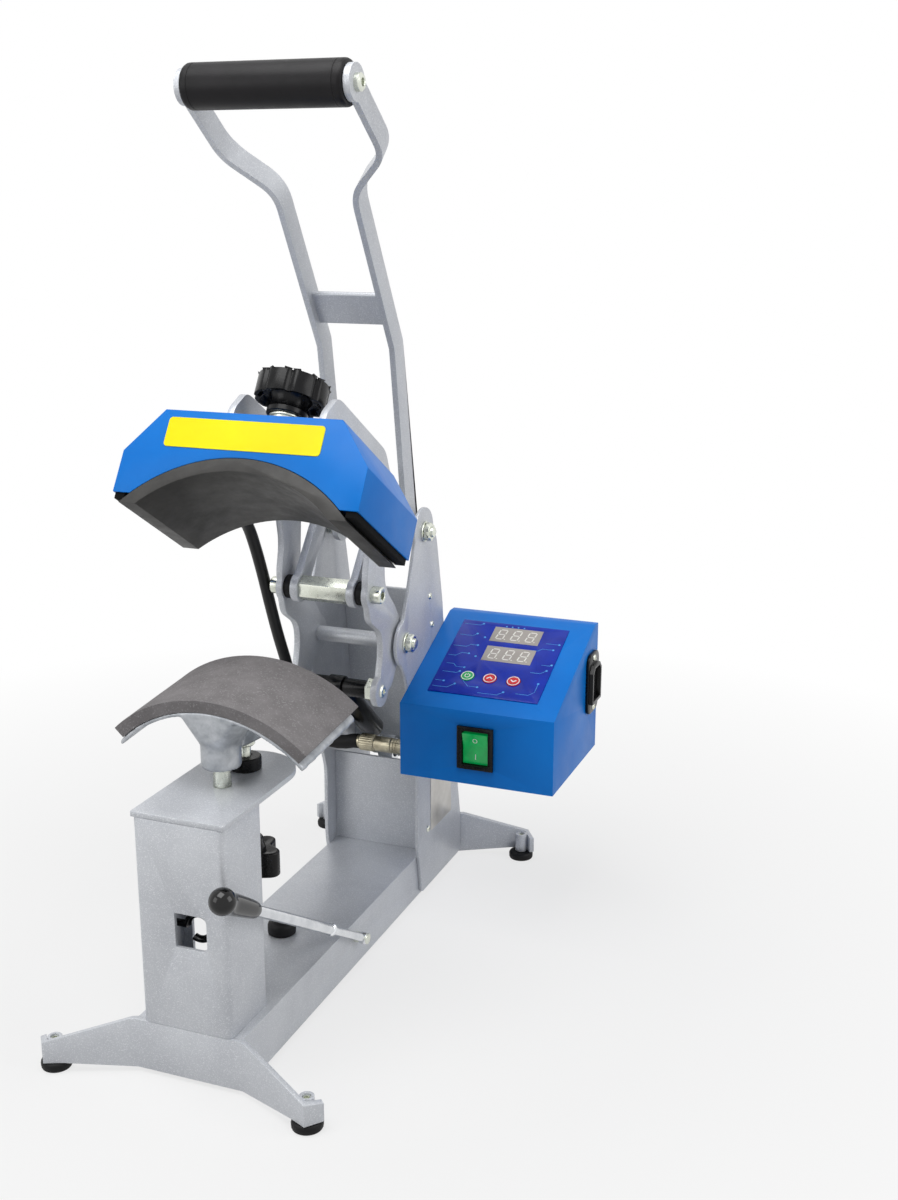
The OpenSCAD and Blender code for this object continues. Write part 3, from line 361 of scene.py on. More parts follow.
def turned(profile, vertices, flutes=None):
    """A turned piece along +Z: a disc extruded ring by ring, (radius, height) or (radius, height, sides).

    flutes = (first ring, last ring, depth) pulls every second point in, for a knurl."""
    bpy.ops.object.select_all(action="DESELECT")
    bpy.ops.mesh.primitive_circle_add(vertices=vertices, radius=0.01, fill_type="NGON")
    piece = bpy.context.object
    bpy.ops.object.mode_set(mode="EDIT")
    bpy.ops.mesh.select_all(action="SELECT")
    for i, ring in enumerate(profile):
        if i:
            bpy.ops.mesh.extrude_region_move()
        mesh = bmesh.from_edit_mesh(piece.data)
        for v in mesh.verts:
            if v.select:
                a = math.atan2(v.co.y, v.co.x)
                radius = ring[0]
                if flutes and flutes[0] <= i <= flutes[1] and round(a / (2 * math.pi / vertices)) % 2:
                    radius -= flutes[2]
                x, y = ring_point(a, radius, ring[2] if len(ring) > 2 else 0)
                v.co = (x, y, ring[1] / 1000)
        bmesh.update_edit_mesh(piece.data)
    bpy.ops.mesh.select_all(action="SELECT")
    bpy.ops.mesh.normals_make_consistent(inside=False)
    bpy.ops.object.mode_set(mode="OBJECT")
    return piece


def placed(piece, at, axis):
    """Turns the piece's +Z to that axis and moves its foot to that point."""
    turn = Vector(axis).to_track_quat("Z", "Y").to_matrix().to_4x4()
    piece.matrix_world = Matrix.Translation(at) @ turn @ piece.matrix_world
    only(piece)
    bpy.ops.object.transform_apply(location=True, rotation=True, scale=True)
    return piece


def joined(pieces):
    """One object of several."""
    bpy.ops.object.select_all(action="DESELECT")
    for piece in pieces:
        piece.select_set(True)
    bpy.context.view_layer.objects.active = pieces[0]
    bpy.ops.object.join()
    return pieces[0]


def block(low, high):
    """A block between two corners in millimetres, in its own frame."""
    bpy.ops.object.select_all(action="DESELECT")
    middle = [(a + b) / 2000 for a, b in zip(low, high)]
    size = [(b - a) / 1000 for a, b in zip(low, high)]
    bpy.ops.mesh.primitive_cube_add(size=1, location=middle, scale=size)
    bpy.ops.object.transform_apply(location=True, rotation=True, scale=True)
    return bpy.context.object


def pick(piece, test):
    """In edit mode, selects the faces whose middle and normal pass the test."""
    bpy.ops.mesh.select_mode(type="FACE")
    bpy.ops.mesh.select_all(action="DESELECT")
    mesh = bmesh.from_edit_mesh(piece.data)
    for face in mesh.faces:
        if test(face.calc_center_median() * 1000, face.normal):
            face.select_set(True)
    bmesh.update_edit_mesh(piece.data)


def corners_rounded(piece, axis, radius, segments=6, test=lambda p: True):
    """Rounds the edges that run along an axis, 0 to 2, where their middle passes the test."""
    only(piece)
    bpy.ops.object.mode_set(mode="EDIT")
    bpy.ops.mesh.select_mode(type="EDGE")
    bpy.ops.mesh.select_all(action="DESELECT")
    mesh = bmesh.from_edit_mesh(piece.data)
    for edge in mesh.edges:
        a, b = (v.co for v in edge.verts)
        if (b - a).length > 1e-6 and abs((b - a).normalized()[axis]) > 0.99 and test((a + b) * 500):
            edge.select_set(True)
    bmesh.update_edit_mesh(piece.data)
    bpy.ops.mesh.bevel(offset=radius / 1000, segments=segments)
    bpy.ops.object.mode_set(mode="OBJECT")
    return piece


def printed(outlines, height, lift=0.0):
    """A thin print in the XY plane: flat outlines in millimetres, merged and given a height."""
    points, faces = [], []
    for outline in outlines:
        faces.append(range(len(points), len(points) + len(outline)))
        points += [(x / 1000, y / 1000, lift / 1000) for x, y in outline]
    mesh = bpy.data.meshes.new("print")
    mesh.from_pydata(points, [], [list(f) for f in faces])
    piece = bpy.data.objects.new("print", mesh)
    bpy.context.scene.collection.objects.link(piece)
    only(piece)
    bpy.ops.object.mode_set(mode="EDIT")
    bpy.ops.mesh.select_all(action="SELECT")
    bpy.ops.mesh.remove_doubles(threshold=0.000002)
    bpy.ops.mesh.normals_make_consistent(inside=False)
    bpy.ops.object.mode_set(mode="OBJECT")
    return faced_outwards(modified(piece, "SOLIDIFY", thickness=height / 1000, offset=1.0))


def strip(line, width):
    """Outlines of a band along a line of points, mitred at its bends."""
    left, right = [], []
    for i, p in enumerate(line):
        before = Vector(p) - Vector(line[i - 1]) if i else Vector(line[1]) - Vector(p)
        after = Vector(line[i + 1]) - Vector(p) if i + 1 < len(line) else before
        along = (before.normalized() + after.normalized()).normalized()
        reach = width / 2 / max(0.3, along.dot(after.normalized()))
        side = Vector((-along.y, along.x)) * reach
        left.append(Vector(p) + side)
        right.append(Vector(p) - side)
    return [(left[i], right[i], right[i + 1], left[i + 1]) for i in range(len(line) - 1)]


def disc(x, y, radius, sides):
    """Outline of a filled circle."""
    angles = [2 * math.pi * k / sides for k in range(sides)]
    return [(x + radius * math.cos(a), y + radius * math.sin(a)) for a in angles]


def hoop(radius, width, start=0, sweep=360, steps=28):
    """Outlines of a ring round the origin, or of an arc of one."""
    radii = (radius + width / 2, radius - width / 2)
    edges = []
    for k in range(steps + 1):
        a = math.radians(start + sweep * k / steps)
        edges.append([(r * math.cos(a), r * math.sin(a)) for r in radii])
    return [(edges[k][0], edges[k][1], edges[k + 1][1], edges[k + 1][0]) for k in range(steps)]


def curve_points(points, step):
    """Points of a smooth line through the given ones, step apart in the same unit."""
    pts = [Vector(p) for p in points]
    dense = []
    for i in range(len(pts) - 1):
        p0, p1, p2, p3 = pts[max(i - 1, 0)], pts[i], pts[i + 1], pts[min(i + 2, len(pts) - 1)]
        count = max(2, round((p2 - p1).length / step))
        for k in range(count):
            t = k / count
            square = (2 * p0 - 5 * p1 + 4 * p2 - p3) * t * t
            cube = (3 * p1 - p0 - 3 * p2 + p3) * t ** 3
            dense.append(0.5 * (2 * p1 + (p2 - p0) * t + square + cube))
    return dense + [pts[-1]]


def tube(points, radius, sides=24):
    """A round tube along points in metres, closed at both ends, its radius a number or one for each point."""
    radii = radius if isinstance(radius, list) else [radius] * len(points)
    bpy.ops.object.select_all(action="DESELECT")
    bpy.ops.mesh.primitive_circle_add(vertices=sides, radius=0.01, fill_type="NGON")
    piece = bpy.context.object
    bpy.ops.object.mode_set(mode="EDIT")
    bpy.ops.mesh.select_all(action="SELECT")
    middle, old_side, old_up = ORIGIN, Vector(RIGHT), Vector(REAR)
    side = Vector(RIGHT)
    for i, point in enumerate(points):
        ahead = (points[min(i + 1, len(points) - 1)] - points[max(i - 1, 0)]).normalized()
        side = (side - ahead * side.dot(ahead)).normalized()
        up = ahead.cross(side)
        if i:
            bpy.ops.mesh.extrude_region_move()
        mesh = bmesh.from_edit_mesh(piece.data)
        for v in [v for v in mesh.verts if v.select]:
            spoke = v.co - middle
            a = math.atan2(spoke.dot(old_up), spoke.dot(old_side))
            v.co = point + (side * math.cos(a) + up * math.sin(a)) * radii[i]
        middle, old_side, old_up = point, side, up
        bmesh.update_edit_mesh(piece.data)
    bpy.ops.mesh.select_all(action="SELECT")
    bpy.ops.mesh.normals_make_consistent(inside=False)
    bpy.ops.object.mode_set(mode="OBJECT")
    return piece


# Heater cable

CABLE = [(-52, 176, 352), (-52, 187, 347), (-52, 199, 337), (-52, 209, 319), (-52, 219, 296), (-52, 229, 270),
         (-52, 240, 243), (-51, 251, 216), (-49, 259, 190), (-45, 265, 168), (-37, 270, 153), (-26, 272, 147),
         (-14, 272, 147), (-4, 271.9, 149.5)]
route = [mm(*p) for p in curve_points(CABLE, 4)]
cable = tube(route, 0.0045)
only(cable)
bpy.ops.object.shade_smooth_by_angle(angle=math.radians(50))
cable.name = cable.data.name = "heater_cable_sheath"
cable.data.materials.append(sheath)
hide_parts("heater_cable")
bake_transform(cable)

# The plug: knurled ring, barrel and rubber boot, all round the socket's axis
SOCKET = mm(0, BOX_Y + 13, BOX_Z + 17.4)
plug = turned([(4.6, 0), (5.0, 0.4), (5.2, 3), (6.1, 3.4), (6.6, 4), (6.9, 4.6), (6.9, 15.6), (6.6, 16.2),
               (5.9, 16.6), (5.9, 17.4), (6.2, 18), (6.2, 30), (5.9, 30.4)], 56, flutes=(5, 6, 0.45))
placed(plug, SOCKET + Vector((-0.0005, 0, 0)), RIGHT)
dressed(plug, "heater_plug_knurled", "frame", nickel, ["heater_plug"])
boot = tube([route[-9], route[-7], route[-5], route[-3], route[-1], SOCKET + Vector((0.0008, 0, 0))],
            [0.0046, 0.0052, 0.0054, 0.0056, 0.0058, 0.0058])
dressed(boot, "heater_plug_boot", "frame", rubber)

# The socket in the box's wall: threaded barrel and its thin lock nut
barrel = turned([(5.6, 0), (6.1, 0.5), (6.1, 2.2), (5.7, 2.5), (6.1, 2.8), (6.1, 4.6), (5.7, 4.9), (6.1, 5.2),
                 (6.1, 12), (5.7, 12.3)], 48)
placed(barrel, SOCKET + Vector((0.0301, 0, 0)), RIGHT)
lock_nut = turned([(7.2, 0), (7.75, 0.3, 6), (7.75, 2.2, 6), (7.2, 2.5)], 48)
placed(lock_nut, SOCKET + Vector((0.0399, 0, 0)), RIGHT)
socket = joined([barrel, lock_nut])
dressed(socket, "heater_socket_threaded", "frame", nickel, ["heater_socket"])

# Sheet and plate work, edges rounded

for node, edge in {
        "base_beam": 1.0, "front_foot_bar": 0.7, "rear_foot_bar": 0.7, "post_tube": 0.6, "post_deck": 0.9,
        "column_plate_left": 0.6, "column_plate_right": 0.6, "column_back_cover": 0.6,
        "arm_plate_left": 0.8, "arm_plate_right": 0.8, "hinge_tube": 0.5, "head_bridge": 0.6,
        "toggle_links": 0.9, "handle_brace": 0, "box_shell": 0.9, "box_cover": 0.4, "head_hood": 0.8,
        "side_insulation": 0.3, "heating_element": 0.7, "key_panel": 0.15, "hex_spacer": 0.5,
        "link_bushings": 0.4, "spring_bar": 0.5, "pivot_shafts": 0.7, "platen_pin": 0.6,
        "lever_shaft": 0.4, "link_pin": 0.4, "head_carrier": 0.4, "pressure_screw": 0.4,
        "rocker_frame": 0.7, "rocker": 0.5, "post_hook": 0}.items():
    softened(node, edge)
softened("gas_cylinder", 0.8, tube_paint)
softened("gas_rod", 0.4, chrome)
softened("display_windows", 0.2)
softened("rating_plate", 0.15)

# The circuit board stays as it is in the frame, with its own finish
frame["nodes"]["circuit_board"].data.materials.clear()
frame["nodes"]["circuit_board"].data.materials.append(board)

# Feet and bumper

FOOT = [(8.8, 0), (9.9, 0.5), (10.4, 1.4), (10.5, 4.4), (10.2, 5.4), (9.4, 6.1), (8.8, 6.5), (3, 6.6)]
STUD_THREAD = [ring for k in range(14) for ring in ((2.95, 6.5 + k), (2.6, 7.0 + k))]
STUD_KEY = [(2.95, 20.6), (2.5, 21.4), (1.6, 21.4, 6), (1.6, 19.6, 6)]
feet, studs = [], []
for y in (-14.8, 407.5):
    for x in (-94.2, 94.2):
        feet.append(placed(turned(FOOT, 56, flutes=(2, 4, 0.3)), mm(x, y, FLOOR), UP))
        studs.append(placed(turned([(2.9, 6)] + STUD_THREAD + STUD_KEY, 36), mm(x, y, FLOOR), UP))
dressed(joined(feet), "rubber_feet_moulded", "frame", rubber, ["rubber_feet"])
dressed(joined(studs), "feet_studs", "frame", zinc)

BUMPER = [(9.4, 0), (10.3, 0.7), (10.5, 2), (10.5, 6.5), (10, 8.2), (8.8, 9.3), (7.4, 9.6), (7.2, 10.6),
          (6.6, 11.6), (5, 12), (3, 12), (2.6, 10)]
bumper = placed(turned(BUMPER, 48), mm(-4, 142, 44), UP)
dressed(bumper, "rubber_bumper_moulded", "frame", rubber, ["rubber_bumper"])

# Nuts and screws


def nut(flats, height, bore):
    """A hexagon nut with chamfered corners and a thread's first turn in its bore."""
    r = flats / 2
    return turned([(r * 0.93, 0), (r, 0.5, 6), (r, height - 0.7, 6), (r * 0.93, height),
                   (bore + 0.6, height), (bore + 0.1, height - 0.5)], 48)


def cap_screw(head, height, key):
    """A cap screw's head with its hexagon socket."""
    r = head / 2
    return turned([(r - 0.2, 0), (r, 0.2), (r, height - 0.9), (r - 0.9, height), (key * 0.62, height),
                   (key / 2, height - 0.3, 6), (key / 2, height * 0.45, 6)], 48, flutes=(1, 2, 0.18))


def dome_screw(head, height, key):
    """A low round head with a hexagon socket."""
    r = head / 2
    return turned([(r, 0), (r, height * 0.3), (r * 0.9, height * 0.65), (r * 0.68, height * 0.93),
                   (key * 0.62, height), (key / 2, height - 0.2, 6), (key / 2, height * 0.3, 6)], 48)


# Each column plate runs from 39.5 to 42.5 mm from the middle. inner is where the inside washer starts
PLATE_IN, PLATE_OUT = 39.5, 42.5
pieces = []
for y, z, inner in ((PIVOT_Y, PIVOT_Z, 37.8), (TOP_Y, TOP_Z, 32.3)):
    gap = PLATE_IN - inner
    for s in (-1, 1):
        out = (s, 0, 0)
        pieces.append(placed(turned([(7.6, 0), (8, 0.2), (8, 1.2), (7.6, 1.5), (4.2, 1.5)], 48),
                             mm(s * PLATE_OUT, y, z), out))
        pieces.append(placed(nut(13, 5, 4), mm(s * 44, y, z), out))
        pieces.append(placed(turned([(7.6, 0), (8, 0.2), (8, gap - 0.2), (7.6, gap), (4.2, gap)], 48),
                             mm(s * inner, y, z), out))
dressed(joined(pieces), "shaft_nuts_and_washers", "frame", zinc, ["shaft_nuts"])

ARM_OUT = 37.5
pieces = []
for s in (-1, 1):
    out = (s, 0, 0)
    pieces.append(placed(cap_screw(13, 8, 6), mm(s * ARM_OUT, JOINT_Y, JOINT_Z), out))
    pieces.append(placed(turned([(4, 0), (4, 31.5)], 32), mm(s * 6, JOINT_Y, JOINT_Z), out))
    pieces.append(placed(dome_screw(10, 1.7, 4), mm(s * ARM_OUT, SPRING_Y, SPRING_Z), out))
    pieces.append(placed(nut(16, 6.5, 7), mm(s * 26, SPRING_Y, SPRING_Z), out))
dressed(joined(pieces), "joint_cap_screws", "arm", zinc, ["joint_bolts"])

pieces = []
for s in (-1, 1):
    for y, z in ((321.8, 261.6), (325.8, 237.1), (316, 128), (316, 62)):
        pieces.append(placed(dome_screw(5.5, 1.4, 2.2), mm(s * 42.4, y, z), (s, 0, 0)))
dressed(joined(pieces), "column_small_screws", "frame", zinc)

GRIP_SHAFT = [(5, 0), (5, 57)]
GRIP_SCREW = [(5.8, 0), (5.8, 2.9), (4.8, 3.9), (2.9, 4.2), (2.5, 4.0, 6), (2.5, 1.6, 6)]
pieces = [placed(turned(GRIP_SHAFT, 40), mm(s * 3, GRIP_Y, GRIP_Z), (s, 0, 0)) for s in (-1, 1)]
pieces += [placed(turned(GRIP_SCREW, 48), mm(s * 62.8, GRIP_Y, GRIP_Z), (s, 0, 0)) for s in (-1, 1)]
dressed(joined(pieces), "grip_screws", "handle", zinc, ["grip_fixings"])

pieces = [placed(dome_screw(6, 1.5, 2.5), mm(x, 375.4, z), REAR) for x in (52, 158) for z in (142, 229)]
dressed(joined(pieces), "box_cover_screws", "frame", zinc)

# Grip and handle bars

GRIP = [(5.2, 0.2), (12.6, 0), (14.2, 0.5), (14.9, 1.8), (15, 3), (15, 5.6), (14.75, 5.9), (14.75, 6.3),
        (15, 6.6), (15, 30), (15, 58), (15, 86), (15, 109.4), (14.75, 109.7), (14.75, 110.1),
        (15, 110.4), (15, 113), (14.9, 114.2), (14.2, 115.5), (12.6, 116)]
grip = placed(turned(GRIP, 72), mm(-58, GRIP_Y, GRIP_Z), RIGHT)
dressed(grip, "handle_grip_sleeve", "handle", grip_skin, ["handle_grip"])


def bent_line(corners, reach, steps=6):
    """A line of straights with a curve of that reach at each inner corner, in metres."""
    line = [corners[0]]
    for before, corner, after in zip(corners, corners[1:], corners[2:]):
        a = corner + (before - corner).normalized() * reach
        b = corner + (after - corner).normalized() * reach
        for k in range(steps + 1):
            t = k / steps
            line.append(a * (1 - t) ** 2 + corner * 2 * t * (1 - t) + b * t * t)
    return line + [corners[-1]]


def cut(piece, point, normal, keep_inner, fill):
    """Cuts the piece with a plane and keeps one side."""
    only(piece)
    bpy.ops.object.mode_set(mode="EDIT")
    bpy.ops.mesh.select_mode(type="VERT")
    bpy.ops.mesh.select_all(action="SELECT")
    bpy.ops.mesh.bisect(plane_co=point, plane_no=normal, use_fill=fill, clear_inner=not keep_inner,
                        clear_outer=keep_inner)
    bpy.ops.object.mode_set(mode="OBJECT")


# The bar's lower part is the CAD's; its cut end is drawn out along the two bends of the splay.
# BEND and SPLAY are the ends of the straight below the splay, FLARE is the splay's upper end
BAR_X, EAR_X = 29.75, 60.55
BEND_Y, BEND_Z = 288, 464
SPLAY_Y, SPLAY_Z = 223, 577
FLARE_Y, FLARE_Z = 203, 602
MIDDLE = mm(0, 0, 0)
lower_way = Vector((0, SPLAY_Y - BEND_Y, SPLAY_Z - BEND_Z)).normalized()
start = mm(BAR_X, SPLAY_Y, SPLAY_Z) - lower_way * 0.026
bar = taken("handle_bars")
cut(bar, MIDDLE, RIGHT, False, False)
cut(bar, start, lower_way, True, True)
corners = [start, mm(BAR_X, SPLAY_Y, SPLAY_Z), mm(EAR_X, FLARE_Y, FLARE_Z), mm(EAR_X, GRIP_Y, GRIP_Z)]
line = bent_line(corners, 0.013)
only(bar)
bpy.ops.object.mode_set(mode="EDIT")
pick(bar, lambda p, n: n.dot(lower_way) > 0.99 and (p / 1000 - start).length < 0.004)
for i, point in enumerate(line):
    ahead = (line[min(i + 1, len(line) - 1)] - line[max(i - 1, 0)]).normalized() if i else lower_way
    width = Vector((0, -ahead.z, ahead.y)).normalized()
    depth = ahead.cross(width)
    if i:
        bpy.ops.mesh.extrude_region_move()
        mesh = bmesh.from_edit_mesh(bar.data)
        for v in mesh.verts:
            if v.select:
                spoke = v.co - old_point
                v.co = point + width * spoke.dot(old_width) + depth * spoke.dot(old_depth)
        bmesh.update_edit_mesh(bar.data)
    old_point, old_width, old_depth = point, width, depth
bpy.ops.object.mode_set(mode="OBJECT")
faced_outwards(bar)
ear = placed(turned([(12, 0), (12, 4.5)], 64), mm(58.3, GRIP_Y, GRIP_Z), RIGHT)
modified(bar, "BOOLEAN", operation="UNION", object=ear, solver="EXACT")
bpy.data.objects.remove(ear)
rounded(bar, 0.7, 2, 40)
other = bar.copy()
other.data = bar.data.copy()
bpy.context.scene.collection.objects.link(other)
mirror = Matrix.Scale(-1, 4, RIGHT)
other.matrix_world = Matrix.Translation(MIDDLE) @ mirror @ Matrix.Translation(-MIDDLE)
only(other)
bpy.ops.object.transform_apply(location=True, rotation=True, scale=True)
bars = joined([bar, faced_outwards(other)])
dressed(bars, "handle_bars_bent", "handle", silver, ["handle_bars"])

# Knobs


def lobed(radius, height, lobes, depth, narrow, dish):
    """A lobed hand knob along +Z: a cylinder whose side is drawn in between the lobes, with a dished top."""
    bpy.ops.object.select_all(action="DESELECT")
    bpy.ops.mesh.primitive_cylinder_add(vertices=lobes * 24, radius=radius / 1000, depth=height / 1000,
                                        location=(0, 0, height / 2000))
    bpy.ops.object.transform_apply(location=True, rotation=True, scale=True)
    piece = bpy.context.object
    bpy.ops.object.mode_set(mode="EDIT")
    mesh = bmesh.from_edit_mesh(piece.data)
    for v in mesh.verts:
        draw = 1 - depth * (0.5 + 0.5 * math.cos(lobes * math.atan2(v.co.y, v.co.x))) ** narrow
        v.co.x *= draw
        v.co.y *= draw
    bmesh.update_edit_mesh(piece.data)
    pick(piece, lambda p, n: n.z > 0.9)
    bpy.ops.mesh.inset(thickness=0.0022, depth=0)
    bpy.ops.mesh.inset(thickness=dish / 1000, depth=-0.0012)
    pick(piece, lambda p, n: n.z < -0.9)
    bpy.ops.mesh.inset(thickness=0.0024, depth=0)
    bpy.ops.mesh.inset(thickness=0.002, depth=-0.003)
    bpy.ops.object.mode_set(mode="OBJECT")
    return rounded(piece, 1.2, 3, 50)


crown = placed(lobed(25.3, 15.5, 8, 0.085, 9, 3), Vector((0, 0, 0.0282)), UP)
neck = turned([(12.5, 17.5), (14.1, 17.7), (14.5, 18.2), (14.5, 21.4), (14.1, 21.9), (13.4, 22.2), (13.2, 23),
               (13.2, 27), (14.5, 30), (16, 32)], 56)
placed(neck, ORIGIN, UP)
cap = turned([(12, 42), (12, 43.4), (11.2, 44), (8, 44.2), (7.4, 43.6), (3, 43.5)], 48)
placed(cap, ORIGIN, UP)
knob = only(joined([crown, neck, cap]))
bpy.ops.transform.rotate(value=math.radians(-21.4), orient_axis="Z", center_override=(0, 0, 0))
KNOB = HEAD @ Matrix.Translation((0, 0.045, 0))
dressed(knob, "pressure_knob_lobed", "pressure_knob", nylon, ["pressure_knob"], KNOB)

star_crown = placed(lobed(23, 18, 5, 0.3, 1.2, 4), ORIGIN, UP)
star_neck = turned([(12, 16), (11.2, 19), (10.2, 21.5), (10, 25.2), (9.2, 26), (4.2, 26)], 40)
star = joined([star_crown, placed(star_neck, ORIGIN, UP)])
STAR = Matrix.Translation(mm(0, SCREW_Y, SCREW_Z))
dressed(star, "star_knob_lobed", "star_knob", nylon, ["star_knob"], STAR)

RING = [(10, 0), (10.7, 0.5), (10.9, 1), (10.9, 8.4), (10.7, 9), (10, 9.5), (5.2, 9.5), (4.3, 8.8)]
ring = placed(turned(RING, 72, flutes=(2, 3, 0.35)), mm(0, SCREW_Y, 194.5), UP)
dressed(ring, "ring_nut_knurled", "ring_nut", nylon, ["ring_nut"])

THREAD_PITCH = 1.5
thread = [(r, z + k * THREAD_PITCH) for k in range(54) for r, z in ((3.95, 1.5), (3.5, 2.25))]
shank = placed(turned([(3.2, 0), (3.9, 0.7)] + thread + [(3.95, 93)], 32), mm(0, SCREW_Y, SCREW_Z), UP)
SLEEVE = [(6.2, 0), (6.9, 0.6), (6.9, 8.6), (6.4, 9.4), (4.4, 10), (3.8, 9.6)]
sleeve = placed(turned(SLEEVE, 56, flutes=(1, 2, 0.35)), mm(0, SCREW_Y, 212), UP)
screw = joined([shank, sleeve])
dressed(screw, "platen_screw_knurled", "frame", zinc, ["platen_screw"])

# Side lever

ROD_END = Vector((0, -0.248, 0))
ball = [(8.8 * math.sin(a), 8.8 - 8.8 * math.cos(a)) for a in [0.08 + 0.19 * k for k in range(11)]]
taper = [(7.9, 13.4), (7.5, 16), (7.3, 20), (6.9, 32), (6.3, 46), (5.9, 52), (5.3, 54.2), (4.3, 55),
         (4.1, 50)]
lever_knob = placed(turned(ball + taper, 56), ROD_END, REAR)
dressed(lever_knob, "lever_knob_polished", "side_lever", phenolic, ["lever_knob"], LEVER)

ROD = [(3.2, 16), (4, 17), (4, 179), (3.5, 179.6), (3.5, 180.8), (4.5, 181.2), (4.8, 182), (4.8, 183.2),
       (4.5, 184), (3.6, 184.4), (3.3, 186), (3.2, 190), (3.1, 238), (2.8, 244)]
EYE = [(3.6, 0), (4.3, 0.5), (4.4, 1), (4.4, 5), (4.3, 5.5), (3.6, 6)]
rod = placed(turned(ROD, 40), ROD_END, REAR)
eye = placed(turned(EYE, 48), Vector((-0.003, 0, 0)), RIGHT)
dressed(joined([rod, eye]), "lever_rod_drawn", "side_lever", chrome, ["lever_rod"], LEVER)

# Platen

PLATEN = tilted(0, 80, 262.5, math.radians(5))
RADIUS = 103.0
PAD_HALF_W, PAD_HALF_D, PAD_T = 71, 40, 8.5
HALF_ARC = math.asin(PAD_HALF_W / RADIUS)


def sponge_place(x, y, z):
    """A point of the pad's block, bent over the saddle."""
    a = x / PAD_HALF_W * HALF_ARC
    r = RADIUS + z
    return Vector((r * math.sin(a), y, r * math.cos(a) - RADIUS)) / 1000


pad = block((-PAD_HALF_W, -PAD_HALF_D, -PAD_T), (PAD_HALF_W, PAD_HALF_D, 0))
only(pad)
bpy.ops.object.mode_set(mode="EDIT")
bpy.ops.mesh.select_all(action="SELECT")
bpy.ops.mesh.subdivide(number_cuts=31)
mesh = bmesh.from_edit_mesh(pad.data)
for v in mesh.verts:
    x, y, z = v.co * 1000
    edge = max(abs(x) / PAD_HALF_W, abs(y) / PAD_HALF_D)
    if z > -4:
        z += 0.25 * math.sin(x * 0.09 + 1) * math.cos(y * 0.11) * (1 - edge)
    v.co = sponge_place(x, y, min(z, 0.1))
bmesh.update_edit_mesh(pad.data)
bpy.ops.object.mode_set(mode="OBJECT")
rounded(pad, 1.3, 3, 60)
dressed(pad, "platen_pad_sponge", "frame", sponge, ["platen_pad"], PLATEN)

casting = taken("platen_casting")
modified(casting, "REMESH", mode="VOXEL", voxel_size=0.0011)
modified(casting, "SMOOTH", factor=0.5, iterations=9)
dressed(casting, "platen_casting_saddle", "frame", casting_metal, ["platen_casting"],
        smooth=180)

# Head

plate = block((-60.6, -0.5, -26.5), (55, 0.02, -5.5))
corners_rounded(plate, 1, 2.6)
dressed(plate, "front_plate_rounded", "head", vinyl, ["front_plate"], HEAD)

# Keypad and displays

PANEL_X, PANEL_S = 59.5, 17.0
PRINT = PANEL @ Matrix.Translation((PANEL_X / 1000, PANEL_S / 1000, 0.0008))
TRACES = [
    [(2, 6), (14, 6), (19, 11)],
    [(2, 13), (9, 13)],
    [(4, 24), (16, 24), (18, 26)],
    [(2, 44), (8, 44), (12, 48), (18, 48)],
    [(2, 56), (13, 56), (16, 59), (22, 59)],
    [(3, 70), (14, 70), (17, 73)],
    [(2, 84), (16, 84), (18, 86)],
    [(30, 84), (35, 79), (62, 79)],
    [(76, 70), (87, 70)],
    [(80, 44), (87, 44), (88, 45)],
    [(74, 34), (82, 34), (86, 38)],
    [(70, 8), (80, 8), (84, 12), (84, 22)],
    [(40, 4), (56, 4), (60, 8)],
    [(24, 16), (30, 10), (38, 10)],
    [(66, 60), (72, 60), (75, 63), (84, 63)],
    [(4, 34), (10, 34), (13, 31), (20, 31)]]
bands = [band for trace in TRACES for band in strip(trace, 0.34)]
dots = [disc(*trace[-1], 0.95, 14) for trace in TRACES] + [disc(38 + 5 * k, 85.5, 0.7, 12) for k in range(4)]
lamps = [disc(24.5, y, 0.95, 24) for y in (69.5, 45.5)]
dressed(printed(bands, 0.03), "keypad_print_lines", "frame", ink, (), PRINT)
dressed(printed(dots, 0.05), "keypad_print_dots", "frame", ink, (), PRINT)
dressed(printed(lamps, 0.12), "indicator_lamps", "frame", ink, (), PRINT)

# A digit's seven segments, as lines between points half a digit's width and height from its middle
DIGIT_W, DIGIT_H = 2.95, 5.7
SEGMENTS = (((-1, 1), (1, 1)), ((-1, 0), (1, 0)), ((-1, -1), (1, -1)), ((-1, 1), (-1, 0)), ((1, 1), (1, 0)),
            ((-1, 0), (-1, -1)), ((1, 0), (1, -1)))


def leaning(centre, outline):
    """An outline drawn round a digit's middle, leaning to the right as the display's digits do."""
    return [(centre[0] + x + y * 0.14, centre[1] + y) for x, y in outline]


def segment_outline(a, b):
    """A segment's pointed bar between two of the digit's points."""
    p = Vector((a[0] * DIGIT_W, a[1] * DIGIT_H))
    q = Vector((b[0] * DIGIT_W, b[1] * DIGIT_H))
    way = (q - p).normalized()
    across = Vector((-way.y, way.x)) * 0.55
    p, q = p + way * 0.35, q - way * 0.35
    inner, outer = p + way * 0.55, q - way * 0.55
    return [p, inner + across, outer + across, q, outer - across, inner - across]


digits = []
for x, y in ((49.5, 75), (50.5, 51)):
    for k in (-1, 0, 1):
        centre = (x + k * 12.4, y)
        for a, b in SEGMENTS:
            digits.append(leaning(centre, segment_outline(a, b)))
        digits.append(leaning(centre, disc(DIGIT_W + 1.9, -DIGIT_H, 0.6, 10)))
dressed(printed(digits, 0.06, 0.21), "display_digits", "frame", segment, (), PRINT)

